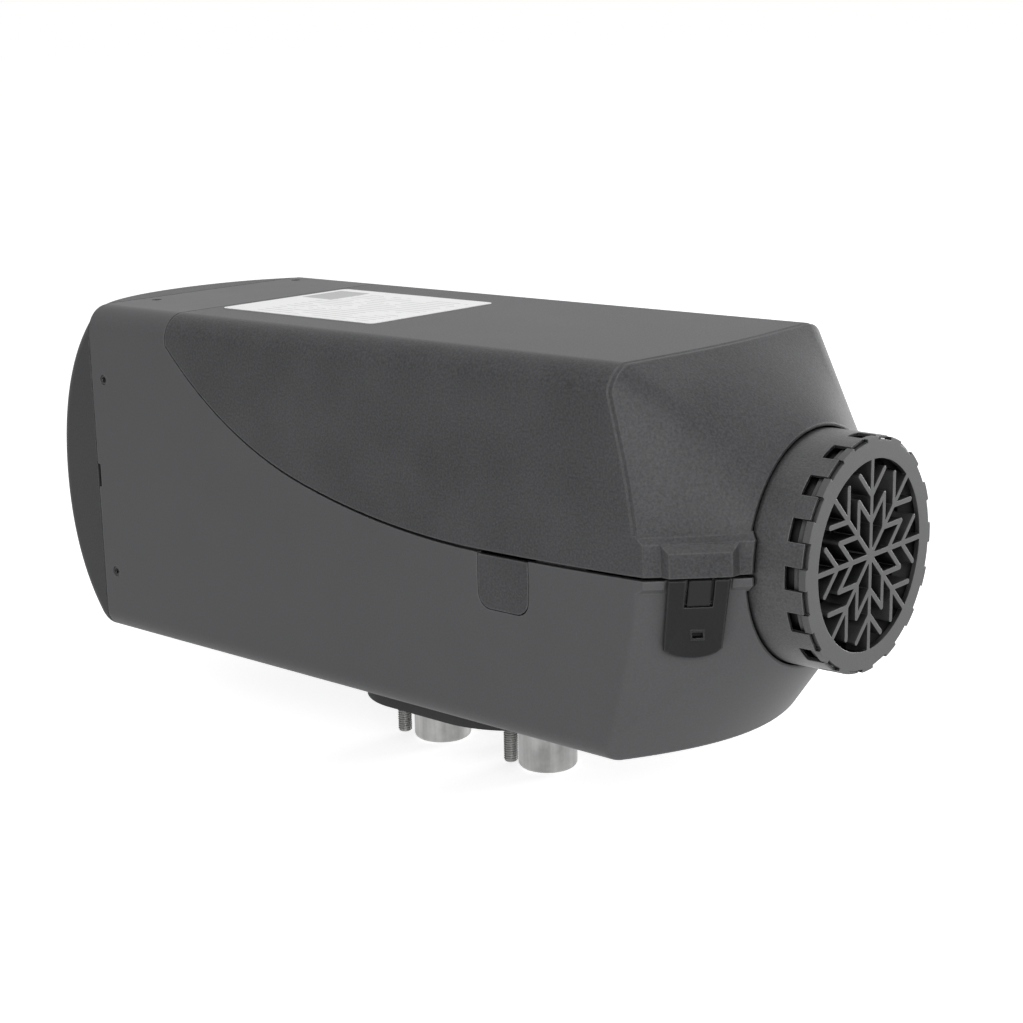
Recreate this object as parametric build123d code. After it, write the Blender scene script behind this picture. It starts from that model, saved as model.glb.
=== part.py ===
from build123d import *
import os
from math import atan2, cos, degrees, pi, radians, sin, sqrt, tan

# Diesel air heater, millimetres. X runs along the air flow, inlet at +X. Z is up.
# The origin is the centre of the four mounting studs, on the underside of the foot gasket.

# ---- casing ----
case_width = 140.0
case_height = 150.0
case_bottom = 11.0          # the casing floor lies this high above the mounting surface
wall = 2.5
top_edge_radius = 11.0
bottom_edge_radius = 9.0
axis_height = 76.6          # air axis above the casing floor
hood_seam_x = -185.4        # joint between casing and outlet hood

# ---- nose of the casing ----
nose_base_x = 97.6          # widest section of the tapering nose
throat_x = 154.7            # front end of the nose
inlet_hole_radius = 45.3
throat_lip = 1.1
nose_flare_side = 20.6      # how far the taper's base reaches past the casing wall
nose_flare_top = 13.6
nose_flare_bottom = 46.1
nose_lean_top = 10.6        # the taper's sides come in by this much at the top
nose_lean_floor = 8.0
nose_wall = 2.6             # nose thickness, along X
nose_edge_round = 2.5
lower_set_back = 3.2        # lower nose surface behind the ledge's, along X
ledge_height = 5.4
ledge_slope = 2.4

# ---- parting line between casing and cover ----
seam_low_x = 48.0           # lowest point of the parting line
seam_low_height = 72.4      # above the casing floor
seam_blend_x = -50.0        # the long sweep turns into the tighter one here
seam_radius = 369.0         # long sweep behind the lowest point
seam_rear_radius = 177.0    # tighter sweep up to the rear
seam_front_radius = 2200.0  # slow rise to the nose
cover_back_x = -133.4
seam_gap_front = 1.4
seam_gap_rear = 0.6
lip_height = 3.0
lip_thickness = 1.5
lip_gap = 0.4

# ---- cover nose ----
shoulder_depth = 4.4        # edge shoulder behind the nose surface, along X
panel_depth = 2.4
panel_inset = 0.4
bar_height = 16.4
bar_slope_height = 3.1
bar_slope_depth = 2.0
hook_width = 14.0
hook_offset_y = 35.0
hook_reach = 9.0
hook_thickness = 2.2

# ---- latches ----
latch_inset = 12.1          # centre of the latch from the casing wall
latch_lean = 7.0            # degrees, follows the nose below the parting line
latch_slant = 0.111         # sideways drift of the tongue for each millimetre of height
latch_width = 22.3
latch_foot_width = 21.4
latch_length = 30.0
latch_corner_length = 26.0
latch_thickness = 2.6
latch_standoff = 1.3
latch_gap = 0.35            # between tongue and cover
latch_edge = 0.5
window_width = 10.4
window_low = 9.5            # lower edge of the window, below the parting line
window_shift = 0.5
catch_clearance = 1.1
catch_low_gap = 0.3
catch_top = 0.7
arm_thickness = 1.2
scoop_radius = 32.0
scoop_height = 16.8
scoop_depth = 1.8
scoop_shift = 0.7
tool_slot_width = 3.9
tool_slot_height = 2.3
tool_slot_rim = 0.45
tool_slot_drop = 7.3        # below the top of the thumb scoop
bulge_width = 27.6
bulge_height = 13.2
bulge_proud = 2.9
bulge_chamfer = 2.6
bulge_shift = 0.7

# ---- cable plugs ----
plug_x = 57.9
plug_width = 23.5
plug_height = 21.5
plug_corner = 6.0
plug_gap = 0.35
plug_sag = 0.8

# ---- outlet hood ----
dome_drop = 4.5             # the dome is centred this far below the air axis
dome_edge_radius = 103.0
dome_edge_x = -180.0
dome_side_radius = 71.0
dome_side_x = -209.6
dome_inner_radius = 46.0
dome_inner_x = -217.7
hood_wall = 3.0             # dome thickness, along X
hood_edge_round = 5.0
outlet_radius = 45.0        # takes a 90 mm duct
outlet_wall = 2.6
outlet_end_x = -230.4
outlet_bead = 0.8
outlet_shoulder = 3.0       # flat ring round the outlet's foot
outlet_shoulder_proud = 0.5
spigot_length = 16.0
spigot_wall = 2.0
spigot_gap = 0.3
hood_screw_inset = 8.0
hood_screw_side = 44.5      # above and below the middle of each side's pair
hood_screw_drop = 2.0       # that middle lies this far below the casing's mid height
hood_screw_top = 43.5       # either side of the middle of the top pair
hood_screw_shift = 6.6      # that middle lies this far towards the far side
hood_screw_head = 2.1
hood_screw_depth = 1.6
hood_screw_drive = 1.1
hood_screw_shank = 1.3
hood_screw_clearance = 0.2
slot_length = 10.7
slot_depth = 1.6
slot_drop = 2.2             # below the casing's mid height

# ---- inlet ----
collar_back_radius = 44.6
collar_front_radius = 44.4
collar_front_x = 173.9
collar_bore = 43.2
shroud_start_x = 120.0
notch_count = 16
notch_depth = 7.0
notch_angle = 11.25
flange_radius = 49.5
flange_width = 3.0
saddle_x = 137.5
saddle_width = 3.0
saddle_gap = 0.3
grille_face_x = 175.5
grille_rim_radius = 42.8
grille_open_radius = 36.0
grille_rim_length = 5.5
grille_rim_wall = 1.8
grille_skirt_radius = 41.0  # closes the notches on the inside
grille_skirt_length = 11.0
lug_length = 2.9
lug_gap = 0.5
lug_drop = 0.3              # lugs lie this far below the collar's skin
rib_width = 1.9
rib_depth = 9.0
spoke_count = 8
star_side = 12.7
branch_root = 22.6
branch_length = 12.2

# ---- foot, stubs and studs ----
stud_spacing_x = 60.0
stud_spacing_y = 70.0
stud_radius = 3.0
stud_seat_radius = 2.6      # thinner end inside the foot
stud_reach = 15.0           # stud length below the mounting surface
exhaust_x = -40.4
intake_x = 20.6
stub_radius = 12.7
stub_bore = 10.4
stub_seat_radius = 12.3     # where the stub enters the foot
stub_reach = 29.4
stub_round = 2.0            # outer edge of the stub's mouth
fuel_x = -2.0
fuel_y = 24.0
fuel_radius = 2.2
fuel_hose_radius = 2.5      # thicker end that takes the fuel hose
fuel_reach = 25.0
fuel_bend = 4.6
foot_rear_x = -56.0
foot_front_x = 53.0
foot_reach = 48.8           # gasket edge from the centre line
foot_rear_corner = 30.0
foot_front_corner = 46.0
gasket_floor = 3.0
gasket_rim = 1.8
foot_flange_z = 17.0
stub_seat_z = 9.0
stud_seat_z = 12.0
intake_column_z = 38.0
intake_mouth_x = 38.5
passage_z = 28.0
passage_radius = 7.5
fuel_run_z = 22.0
fuel_end_z = 42.0
fit_gap = 0.3

# ---- heat exchanger and burner ----
drum_radius = 42.0
drum_wall = 5.0
drum_rear_x = -168.0
drum_end_round = 18.0
drum_front_x = 20.0
fin_count = 24
fin_radius = 57.0
fin_thickness = 2.2
burner_radius = 30.0
burner_wall = 1.2
burner_rear_x = -75.0
burner_flange_radius = 46.0
burner_flange_width = 5.0
burner_gasket_width = 1.5
glow_x = 4.0
glow_boss_radius = 10.0
glow_boss_z = 137.0
glow_hole = 6.2
sensor_x = -60.0
sensor_rise = 0.5           # the sensor's pad stands this far above the fins

# ---- blower and motor ----
blower_length = 33.0
blower_wall = 7.5
blower_face = 4.5           # wall between the impeller and the motor
housing_screw_radius = 2.0
motor_screw_radius = 1.5
motor_cap = 4.0
impeller_radius = 35.0
impeller_blades = 14
screw_circle = 42.2
motor_radius = 25.0
motor_length = 46.0
motor_wall = 2.0
shaft_radius = 2.5
bearing_radius = 8.0
bearing_width = 6.0
shaft_clearance = 0.05
armature_radius = 14.0
magnet_angle = 140.0
fan_start_x = 124.0
fan_radius = 42.0
fan_hub_radius = 24.0
fan_length = 20.0
fan_blades = 9
fan_pitch = 38.0

# ---- control unit ----
ecu_length = 80.0
ecu_width = 68.0
ecu_height = 16.0
ecu_wall = 2.0
ecu_start_x = 24.0
ecu_z = 136.0

# ---- label ----
label_length = 92.5
label_width = 77.0
label_start_x = -129.4
label_centre_y = -1.5
label_thickness = 0.25

axis_z = case_bottom + axis_height
case_mid_z = case_bottom + case_height / 2
case_top = case_bottom + case_height
seam_low_z = case_bottom + seam_low_height
throat_radius = inlet_hole_radius + throat_lip
latch_y = case_width / 2 - latch_inset
sensor_z = axis_z + fin_radius + sensor_rise
burner_flange_x = drum_front_x + burner_gasket_width + 2 * fit_gap
impeller_cover_x = burner_flange_x + burner_flange_width + fit_gap
blower_x = impeller_cover_x + 2.5 + fit_gap
blower_front_x = blower_x + blower_length
motor_x = blower_front_x + fit_gap
motor_front_x = motor_x + motor_length


# ---- drawing helpers ----
def square_to_axis(x, z=axis_z):
    """Plane across the heater: its own x runs along Y and its own y along Z."""
    return Plane(origin=(x, 0, z), x_dir=(0, 1, 0), z_dir=(1, 0, 0))


def along(profile, x_from, x_to, z=axis_z):
    """Carry a cross section along the heater."""
    return extrude(square_to_axis(x_from, z) * profile, amount=x_to - x_from)


def tube(outer, inner, x_from, x_to, z=axis_z):
    return along(Circle(outer) - Circle(inner), x_from, x_to, z)


def upright(radius, x, y, z_from, z_to):
    return Pos(x, y, (z_from + z_to) / 2) * Cylinder(radius, z_to - z_from)


def slab(x_from, x_to, y_from, y_to, z_from, z_to):
    middle = Pos((x_from + x_to) / 2, (y_from + y_to) / 2, (z_from + z_to) / 2)
    return middle * Box(x_to - x_from, y_to - y_from, z_to - z_from)


def other_side(part):
    return mirror(part, about=Plane.XZ)


# ---- casing volumes ----
def case_section(inset):
    """Cross section of the casing, this far inside its outer skin."""
    outline = Rectangle(case_width - 2 * inset, case_height - 2 * inset)
    outline = fillet(outline.vertices().sort_by(Axis.Y)[-2:], top_edge_radius - inset)
    return fillet(outline.vertices().sort_by(Axis.Y)[:2], bottom_edge_radius - inset)


def prism(inset, x_from, x_to):
    return along(case_section(inset), x_from, x_to, case_mid_z)


def nose_base_outline():
    """Wide section that the nose tapers from: flat top, bowed sides and bottom."""
    side = case_width / 2 + nose_flare_side
    top = case_height - axis_height + nose_flare_top
    floor = -axis_height
    top_side = side - nose_lean_top
    floor_side = side - nose_lean_floor
    corners = [(floor_side, floor), (top_side, top), (-top_side, top), (-floor_side, floor)]
    edges = [
        ThreePointArc(corners[0], (side, 0), corners[1]),
        Line(corners[1], corners[2]),
        ThreePointArc(corners[2], (-side, 0), corners[3]),
        ThreePointArc(corners[3], (0, floor - nose_flare_bottom), corners[0]),
    ]
    outline = make_face(edges)
    outline = fillet(outline.vertices().sort_by(Axis.Y)[-2:], top_edge_radius)
    return fillet(outline.vertices().sort_by(Axis.Y)[:2], bottom_edge_radius)


def matched_circle(outline, radius):
    """Circle cut into as many arcs as the outline has edges, at the same bearings."""
    angles = sorted(atan2(corner.Y, corner.X) for corner in outline.vertices())
    arcs = []
    for first, last in zip(angles, angles[1:] + [angles[0] + 2 * pi]):
        points = [(radius * cos(a), radius * sin(a)) for a in (first, (first + last) / 2, last)]
        arcs.append(ThreePointArc(*points))
    return make_face(arcs)


def nose(set_back=0.0):
    """Tapering volume from the bowed section to the round throat."""
    outline = nose_base_outline()
    throat = matched_circle(outline, throat_radius)
    sections = [
        square_to_axis(nose_base_x - set_back) * outline,
        square_to_axis(throat_x - set_back) * throat,
    ]
    return loft(sections, ruled=True)


def case_body(inset, set_back):
    """Filled casing, hood left out, its skin moved in by inset and its nose moved back."""
    joint_x = nose_base_x - set_back
    barrel = prism(inset, hood_seam_x, joint_x)
    tip = prism(inset, joint_x, throat_x) & nose(set_back)
    return barrel + tip


def seam_z(x):
    """Height of the parting line on the nose side of its lowest point."""
    run = x - seam_low_x
    return seam_low_z + seam_front_radius - sqrt(seam_front_radius ** 2 - run ** 2)


def rear_sweep(x, gap):
    """Height of the parting line behind its lowest point, moved up by gap square to itself."""
    run = seam_low_x - seam_blend_x
    drop = sqrt(seam_radius ** 2 - run ** 2)
    centre_x = seam_low_x
    centre_z = seam_low_z + seam_radius
    radius = seam_radius
    if x < seam_blend_x:
        share = 1 - seam_rear_radius / seam_radius
        centre_x -= share * run
        centre_z -= share * drop
        radius = seam_rear_radius
    return centre_z - sqrt((radius - gap) ** 2 - (x - centre_x) ** 2)


def above_seam(gap_front=0.0, gap_rear=0.0, raised=0.0):
    """All space above the parting line, extruded across the casing."""
    back_x = cover_back_x + gap_rear
    front_x = throat_x + 40
    sky = case_top + 60

    def rear_point(x, share):
        gap = gap_rear + share * (gap_front - gap_rear)
        return (x, rear_sweep(x, gap) + raised)

    def front_point(x):
        return (x, seam_z(x) + gap_front + raised)

    back = rear_point(back_x, 0)
    blend = rear_point(seam_blend_x, 0.5)
    low = front_point(seam_low_x)
    front = front_point(front_x)
    edges = [
        Line((back_x, sky), back),
        ThreePointArc(back, rear_point((back_x + seam_blend_x) / 2, 0.25), blend),
        ThreePointArc(blend, rear_point((seam_blend_x + seam_low_x) / 2, 0.75), low),
        ThreePointArc(low, front_point((front_x + seam_low_x) / 2), front),
        Line(front, (front_x, sky)),
        Line((front_x, sky), (back_x, sky)),
    ]
    return extrude(Plane.XZ * make_face(edges), amount=case_width, both=True)


# ---- latch frame ----
def nose_plane():
    """Upright plane on the near side of the nose, its origin on the parting line."""
    slope = (throat_x - nose_base_x) / (case_width / 2 + nose_flare_side - throat_radius)
    x = throat_x - slope * (latch_y - throat_radius)
    seam_rise = (x - seam_low_x) / seam_front_radius
    along_nose = Vector(slope, 1, seam_rise * slope)
    return Plane(origin=(x, -latch_y, seam_z(x)), x_dir=along_nose, z_dir=(1, -slope, 0))


def latch_plane():
    """Leaning plane of the latch tongue, on the lower nose's surface."""
    plane = nose_plane()
    plane = plane.offset(-lower_set_back * plane.z_dir.X)
    return Plane(plane.location * Rot(X=latch_lean))


def layer(plane, profile, depth_from, depth_to):
    """Plate between two depths of the latch frame, outward positive."""
    return extrude(plane.offset(depth_from) * profile, amount=depth_to - depth_from)


def between(x_from, x_to, y_from, y_to):
    return Pos((x_from + x_to) / 2, (y_from + y_to) / 2) * Rectangle(x_to - x_from, y_to - y_from)


def slanted(x, y):
    """Point of the latch frame, carried sideways by the tongue's slant."""
    return (x + latch_slant * y, y)


def slanted_window(left, right, low, high):
    corners = [(left, low), (right, low), (right, high), (left, high)]
    return Polygon(*[slanted(x, y) for x, y in corners], align=None)


def tongue_outline(margin=0.0):
    """Slanted tongue with a rounded lower end, grown by margin."""
    top = latch_width / 2 + margin
    foot = latch_foot_width / 2 + margin
    low = -latch_corner_length - margin
    head = seam_gap_front - latch_gap + margin
    tip = slanted(0, -latch_length - margin)
    edges = [
        Line(slanted(-top, head), slanted(top, head)),
        Line(slanted(top, head), slanted(foot, low)),
        ThreePointArc(slanted(foot, low), tip, slanted(-foot, low)),
        Line(slanted(-foot, low), slanted(-top, head)),
    ]
    return make_face(edges)


def make_latch():
    """Spring tongue of the near latch: forked top, thumb scoop and tool slot."""
    plane = latch_plane()
    face = latch_standoff + latch_thickness
    tongue = layer(plane, tongue_outline(), latch_standoff, face)
    front = tongue.faces().sort_by(lambda f: plane.to_local_coords(f.center()).Z)[-1]
    tongue = chamfer(front.edges(), latch_edge)
    half = window_width / 2
    window = slanted_window(window_shift - half, window_shift + half, -window_low, seam_gap_front + 1)
    tongue -= layer(plane, window, 0, face + 1)
    tilt = degrees(atan2(scoop_depth, scoop_height))
    scoop_top = scoop_height - latch_length
    cutter = Rot(X=90 + tilt) * Cylinder(scoop_radius, 4 * latch_length)
    cutter = Rot(Z=-degrees(atan2(latch_slant, 1))) * cutter
    middle = slanted(scoop_shift, scoop_top)
    tongue -= plane * Pos(*middle, face + scoop_radius / cos(radians(tilt))) * cutter
    spot = Pos(*slanted(scoop_shift + window_shift, scoop_top - tool_slot_drop))
    rim = spot * Rectangle(tool_slot_width + 2 * tool_slot_rim, tool_slot_height + 4 * tool_slot_rim)
    tongue += layer(plane, rim, latch_standoff, face - 0.3)
    return tongue - layer(plane, spot * Rectangle(tool_slot_width, tool_slot_height), 0, face + 1)


def catch_sides(clearance):
    half = window_width / 2 - clearance
    return window_shift - half, window_shift + half


def catch_block():
    """Catch between the tongue's prongs, with the arm that carries it from the cover."""
    plane = latch_plane()
    left, right = catch_sides(catch_clearance)
    low = catch_low_gap - window_low
    block = slanted_window(left, right, low, catch_top)
    arm = slanted_window(left, right, low, seam_gap_front + 1)
    back = latch_standoff - fit_gap - arm_thickness
    part = layer(plane, block, back, latch_standoff + latch_thickness - fit_gap)
    return part + layer(plane, arm, back, back + arm_thickness)


def latch_pocket():
    """Room in the lower nose for the tongue and for the swing of the catch arm."""
    plane = latch_plane()
    left, right = catch_sides(catch_clearance - fit_gap)
    back = latch_standoff - arm_thickness - 2 * fit_gap
    pocket = layer(plane, tongue_outline(1.0), latch_standoff - fit_gap, 12)
    return pocket + layer(plane, slanted_window(left, right + 3, -window_low, 3), back, 12)


def bulge():
    """Raised block on the cover above a latch."""
    plane = nose_plane()
    half = bulge_width / 2
    block = layer(plane, between(bulge_shift - half, bulge_shift + half, -3, bulge_height), -4, bulge_proud)
    front = block.faces().sort_by(lambda f: plane.to_local_coords(f.center()).Z)[-1]
    edges = front.edges().sort_by(lambda e: plane.to_local_coords(e.center()).Y)[1:]
    return chamfer(edges, bulge_chamfer)


# ---- cable plugs ----
def plug_outline(grow):
    """Barrel-sided blanking plug, its top cut by the parting line."""
    half = plug_width / 2 + grow
    top = seam_z(plug_x) + 6
    low = seam_z(plug_x) - plug_height - grow
    middle = (seam_z(plug_x) + low) / 2
    edges = [
        ThreePointArc((plug_x - half, low), (plug_x - half - plug_sag, middle), (plug_x - half, top)),
        Line((plug_x - half, top), (plug_x + half, top)),
        ThreePointArc((plug_x + half, top), (plug_x + half + plug_sag, middle), (plug_x + half, low)),
        Line((plug_x + half, low), (plug_x - half, low)),
    ]
    outline = make_face(edges)
    return fillet(outline.vertices().sort_by(Axis.Y)[:2], plug_corner)


def plug_block(grow):
    outline = Plane(origin=(0, -case_width / 2, 0), x_dir=(1, 0, 0), z_dir=(0, -1, 0)) * plug_outline(grow)
    return extrude(outline, amount=-wall)


def make_plug():
    return plug_block(0) - above_seam(-plug_gap, -plug_gap)


# ---- casing pieces ----
def hood_screw_spots():
    """Centre and outward direction of each hood screw."""
    x = hood_seam_x + hood_screw_inset
    spots = []
    for sign in (-1, 1):
        for end in (-1, 1):
            z = case_mid_z - hood_screw_drop + end * hood_screw_side
            spots.append(((x, sign * case_width / 2, z), (0, sign, 0)))
            z = case_mid_z + sign * case_height / 2
            spots.append(((x, hood_screw_shift + end * hood_screw_top, z), (0, 0, sign)))
    return spots


def at_screws(radius, depth_from, depth_to):
    """Round pegs at all hood screws, between two depths below the skin."""
    pegs = []
    for centre, outward in hood_screw_spots():
        plane = Plane(origin=centre, z_dir=outward).offset(-depth_to)
        pegs.append(extrude(plane * Circle(radius), amount=depth_to - depth_from))
    return pegs


def make_lip():
    """Thin rim inside the parting line, which the cover closes over."""
    inner = case_body(wall + lip_gap, nose_wall + lip_gap)
    core = case_body(wall + lip_gap + lip_thickness, nose_wall + lip_gap)
    band = inner - core
    band = band & above_seam(raised=-1.5) - above_seam(raised=lip_height)
    base = case_body(wall - 0.5, nose_wall) - core
    base = base & above_seam(raised=-5.0) - above_seam(raised=-0.3)
    rim = (band + base) & slab(cover_back_x - 4, nose_base_x - 2, -case_width, case_width, 0, case_top)
    for side in (-1, 1):
        middle = side * hook_offset_y
        half = hook_width / 2 + 1
        rim -= slab(cover_back_x - 5, cover_back_x + 9, middle - half, middle + half, case_mid_z, case_top)
        edge = side * case_width / 2
        half = plug_width / 2 + plug_sag + 2
        rim -= slab(plug_x - half, plug_x + half, edge - 8, edge + 8, case_bottom, case_top)
    return rim


def inlet_saddle():
    """Web across the lower nose that carries the inlet collar."""
    web = prism(wall / 2, saddle_x - saddle_width / 2, saddle_x + saddle_width / 2)
    web = web & nose(lower_set_back + nose_wall - 1)
    web -= above_seam(raised=-0.5)
    return web - along(Circle(collar_back_radius + saddle_gap), shroud_start_x, throat_x)


def foot_outline(inset):
    """Outline of the foot: a rectangle with large corners, the front ones larger."""
    half = foot_reach - inset
    outline = between(foot_rear_x + inset, foot_front_x - inset, -half, half)
    outline = fillet(outline.vertices().sort_by(Axis.X)[:2], foot_rear_corner - inset)
    return fillet(outline.vertices().sort_by(Axis.X)[-2:], foot_front_corner - inset)


def foot_plate(inset, z_from, z_to):
    return extrude(Pos(0, 0, z_from) * foot_outline(inset), amount=z_to - z_from)


def make_lower_shell():
    """Lower casing: floor, sides up to the parting line, rear top and lower nose."""
    shell = case_body(0, lower_set_back) - above_seam()
    creases = [e for e in shell.edges() if e.center().X > nose_base_x + 4 and is_crease(e)]
    shell = fillet(creases, nose_edge_round)
    shell += make_ledge()
    shell -= case_body(wall, lower_set_back + nose_wall)
    shell -= prism(wall, hood_seam_x - 5, hood_seam_x + 5)
    shell += make_lip() + inlet_saddle()
    for flip in (False, True):
        for cut in (latch_pocket(), plug_block(plug_gap)):
            shell -= other_side(cut) if flip else cut
    shell -= along(Circle(inlet_hole_radius), saddle_x + 5, throat_x + 5)
    shell -= foot_plate(gasket_rim - fit_gap, case_bottom - 1, case_bottom + wall + 1)
    middle = case_mid_z - slot_drop
    for side in (-1, 1):
        edge = side * case_width / 2
        shell -= slab(hood_seam_x - 1, hood_seam_x + slot_depth, edge - 3, edge + 3,
                      middle - slot_length / 2, middle + slot_length / 2)
    for hole in at_screws(hood_screw_head + hood_screw_clearance, -1, hood_screw_depth):
        shell -= hole
    for hole in at_screws(hood_screw_shank + hood_screw_clearance, -1, wall + 1):
        shell -= hole
    return shell


def is_crease(edge):
    """True for the edges where the flat casing walls turn into the lower nose."""
    centre = edge.center()
    low = seam_z(centre.X) - 2
    on_side = abs(abs(centre.Y) - case_width / 2) < 0.01 and centre.Z < low
    on_floor = abs(centre.Z - case_bottom) < 0.01
    corner_y = case_width / 2 - bottom_edge_radius
    corner = centre.Z < case_bottom + bottom_edge_radius and abs(centre.Y) > corner_y
    return on_side or on_floor or corner


def is_rim(edge, height):
    """True for the outer edges of a band of the nose that lie this high above the parting line."""
    centre = edge.center()
    level = abs(centre.Z - seam_z(centre.X) - height) < 0.6
    return level and abs(centre.Y) < case_width / 2 - 0.1 and centre.X > nose_base_x + 4


def make_ledge():
    """Proud band of the lower nose just under the parting line, its lower edge sloped."""
    band = prism(0, nose_base_x + 2, throat_x) & nose()
    band = band & above_seam(raised=-ledge_height) - above_seam()
    return chamfer([e for e in band.edges() if is_rim(e, -ledge_height)], ledge_slope)


def make_upper_cover():
    """Hinged cover: top, upper sides, stepped nose panel, bar, bulges and rear hooks."""
    region = above_seam(seam_gap_front, seam_gap_rear)
    panel_back = nose_base_x - shoulder_depth
    panel = prism(panel_inset, panel_back, throat_x) & nose(panel_depth)
    bar = prism(0, panel_back, throat_x) & nose()
    bar = bar & region - above_seam(raised=bar_height)
    top = bar.faces().sort_by(Axis.Z)[-1]
    rim = [e for e in top.edges() if is_rim(e, bar_height)]
    bar = chamfer(rim, bar_slope_depth, bar_slope_height, reference=top)
    cover = (case_body(0, shoulder_depth) & region) + (panel & region) + bar
    for flip in (False, True):
        block = bulge() & region
        cover += other_side(block) if flip else block
    cover -= case_body(wall, shoulder_depth + nose_wall)
    cover -= along(Circle(inlet_hole_radius), saddle_x - 12, throat_x + 5)
    for flip in (False, True):
        cover += other_side(catch_block()) if flip else catch_block()
    for side in (-1, 1):
        cover += rear_hook(side * hook_offset_y)
    return cover


def rear_hook(y):
    """Tab that holds the cover's rear edge under the casing's rear top."""
    half = hook_width / 2
    under = case_top - wall - lip_gap
    tab = slab(cover_back_x - hook_reach, cover_back_x + 8, y - half, y + half, under - hook_thickness, under)
    post = slab(cover_back_x + 3, cover_back_x + 8, y - half, y + half, under - hook_thickness, case_top - 1)
    return tab + post


def make_rating_label():
    """Thin sticker on the cover, its place left blank."""
    outline = fillet(Rectangle(label_length, label_width).vertices(), 3)
    middle = label_start_x + label_length / 2
    return extrude(Pos(middle, label_centre_y, case_top) * outline, amount=label_thickness)


def dome(shift):
    """Rounded rear end as a solid of revolution, its skin moved forwards by shift."""
    front = hood_seam_x + 40
    crown = (dome_inner_x + shift, dome_inner_radius)
    side = (dome_side_x + shift, dome_side_radius)
    edge = (dome_edge_x + shift, dome_edge_radius)
    edges = [
        Line((crown[0], 0), crown),
        ThreePointArc(crown, side, edge),
        Line(edge, (front, dome_edge_radius + 20)),
        Line((front, dome_edge_radius + 20), (front, 0)),
        Line((front, 0), (crown[0], 0)),
    ]
    centre = (0, 0, axis_z - dome_drop)
    profile = Plane(origin=centre, x_dir=(1, 0, 0), z_dir=(0, -1, 0)) * make_face(edges)
    return revolve(profile, Axis(centre, (1, 0, 0)))


def is_straight_along(edge):
    """True for the casing's straight edges, which run along the heater."""
    return edge.geom_type == GeomType.LINE


def make_outlet_hood():
    """Rounded rear cap with the duct ring, and the spigot that enters the casing."""
    seam = hood_seam_x - seam_gap_rear
    skin = prism(0, outlet_end_x, seam + 30) & dome(0)
    edges = [e for e in skin.edges() if dome_side_x < e.center().X < seam + 20 and not is_straight_along(e)]
    skin = fillet(edges, hood_edge_round)
    skin = skin & slab(outlet_end_x, seam, -case_width, case_width, 0, 2 * case_top)
    cavity = prism(wall + 0.5, outlet_end_x, seam + 1) & dome(hood_wall)
    hood = skin - cavity
    outer = wall + spigot_gap
    start = hood_seam_x - 6
    spigot = prism(outer, start, hood_seam_x + spigot_length)
    spigot -= prism(outer + spigot_wall, start - 1, hood_seam_x + spigot_length + 1)
    hood += spigot & dome(hood_wall / 2)
    ring_start = dome_inner_x + hood_wall
    hood += along(Circle(outlet_radius + outlet_shoulder), dome_inner_x - outlet_shoulder_proud, ring_start)
    hood += tube(outlet_radius, outlet_radius - outlet_wall, outlet_end_x, ring_start)
    hood -= along(Circle(outlet_radius - outlet_wall), outlet_end_x - 1, ring_start + 5)
    lip = [e for e in hood.edges() if e.center().X < outlet_end_x + 0.01]
    hood = chamfer(lip, outlet_bead)
    for hole in at_screws(hood_screw_shank + shaft_clearance, wall, wall + spigot_wall + 2):
        hood -= hole
    return hood


def make_hood_screws():
    """Eight short screws through the casing into the hood's spigot."""
    heads = at_screws(hood_screw_head, 0.3, hood_screw_depth)
    shanks = at_screws(hood_screw_shank, hood_screw_depth - 0.1, wall + spigot_wall + 1.2)
    drives = at_screws(hood_screw_drive, 0.2, 0.9)
    return Compound([head + shank - drive for head, shank, drive in zip(heads, shanks, drives)])


# ---- inlet ----
def sector(outer, inner, bearing, width):
    """Piece of a ring about a bearing, seen along the heater."""
    half = radians(width / 2)
    middle = radians(bearing)

    def at(radius, angle):
        return (radius * cos(angle), radius * sin(angle))

    edges = [
        ThreePointArc(at(outer, middle - half), at(outer, middle), at(outer, middle + half)),
        Line(at(outer, middle + half), at(inner, middle + half)),
        ThreePointArc(at(inner, middle + half), at(inner, middle), at(inner, middle - half)),
        Line(at(inner, middle - half), at(outer, middle - half)),
    ]
    return make_face(edges)


def notch_bearings():
    return [i * 360 / notch_count for i in range(notch_count)]


def make_inlet_collar():
    """Round inlet with a notched front edge and two flanges astride the casing's saddle."""
    flare = loft([
        square_to_axis(throat_x) * Circle(collar_back_radius),
        square_to_axis(collar_front_x) * Circle(collar_front_radius),
    ])
    collar = along(Circle(collar_back_radius), shroud_start_x, throat_x) + flare
    for side in (-1, 1):
        inner = saddle_x + side * (saddle_width / 2 + saddle_gap)
        collar += along(Circle(flange_radius), inner, inner + side * flange_width)
    collar -= along(Circle(collar_bore), shroud_start_x - 1, collar_front_x + 1)
    notch_x = collar_front_x - notch_depth
    for bearing in notch_bearings():
        collar -= along(sector(60, 40, bearing, notch_angle), notch_x, collar_front_x + 1)
    return collar


def rib(start, end):
    """Round-ended grille rib between two points of the grille's face."""
    run = (end[0] - start[0], end[1] - start[1])
    length = sqrt(run[0] ** 2 + run[1] ** 2)
    middle = ((start[0] + end[0]) / 2, (start[1] + end[1]) / 2)
    return Pos(*middle) * Rot(Z=degrees(atan2(run[1], run[0]))) * SlotOverall(length + rib_width, rib_width)


def polar(radius, bearing):
    return (radius * cos(radians(bearing)), radius * sin(radians(bearing)))


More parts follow.
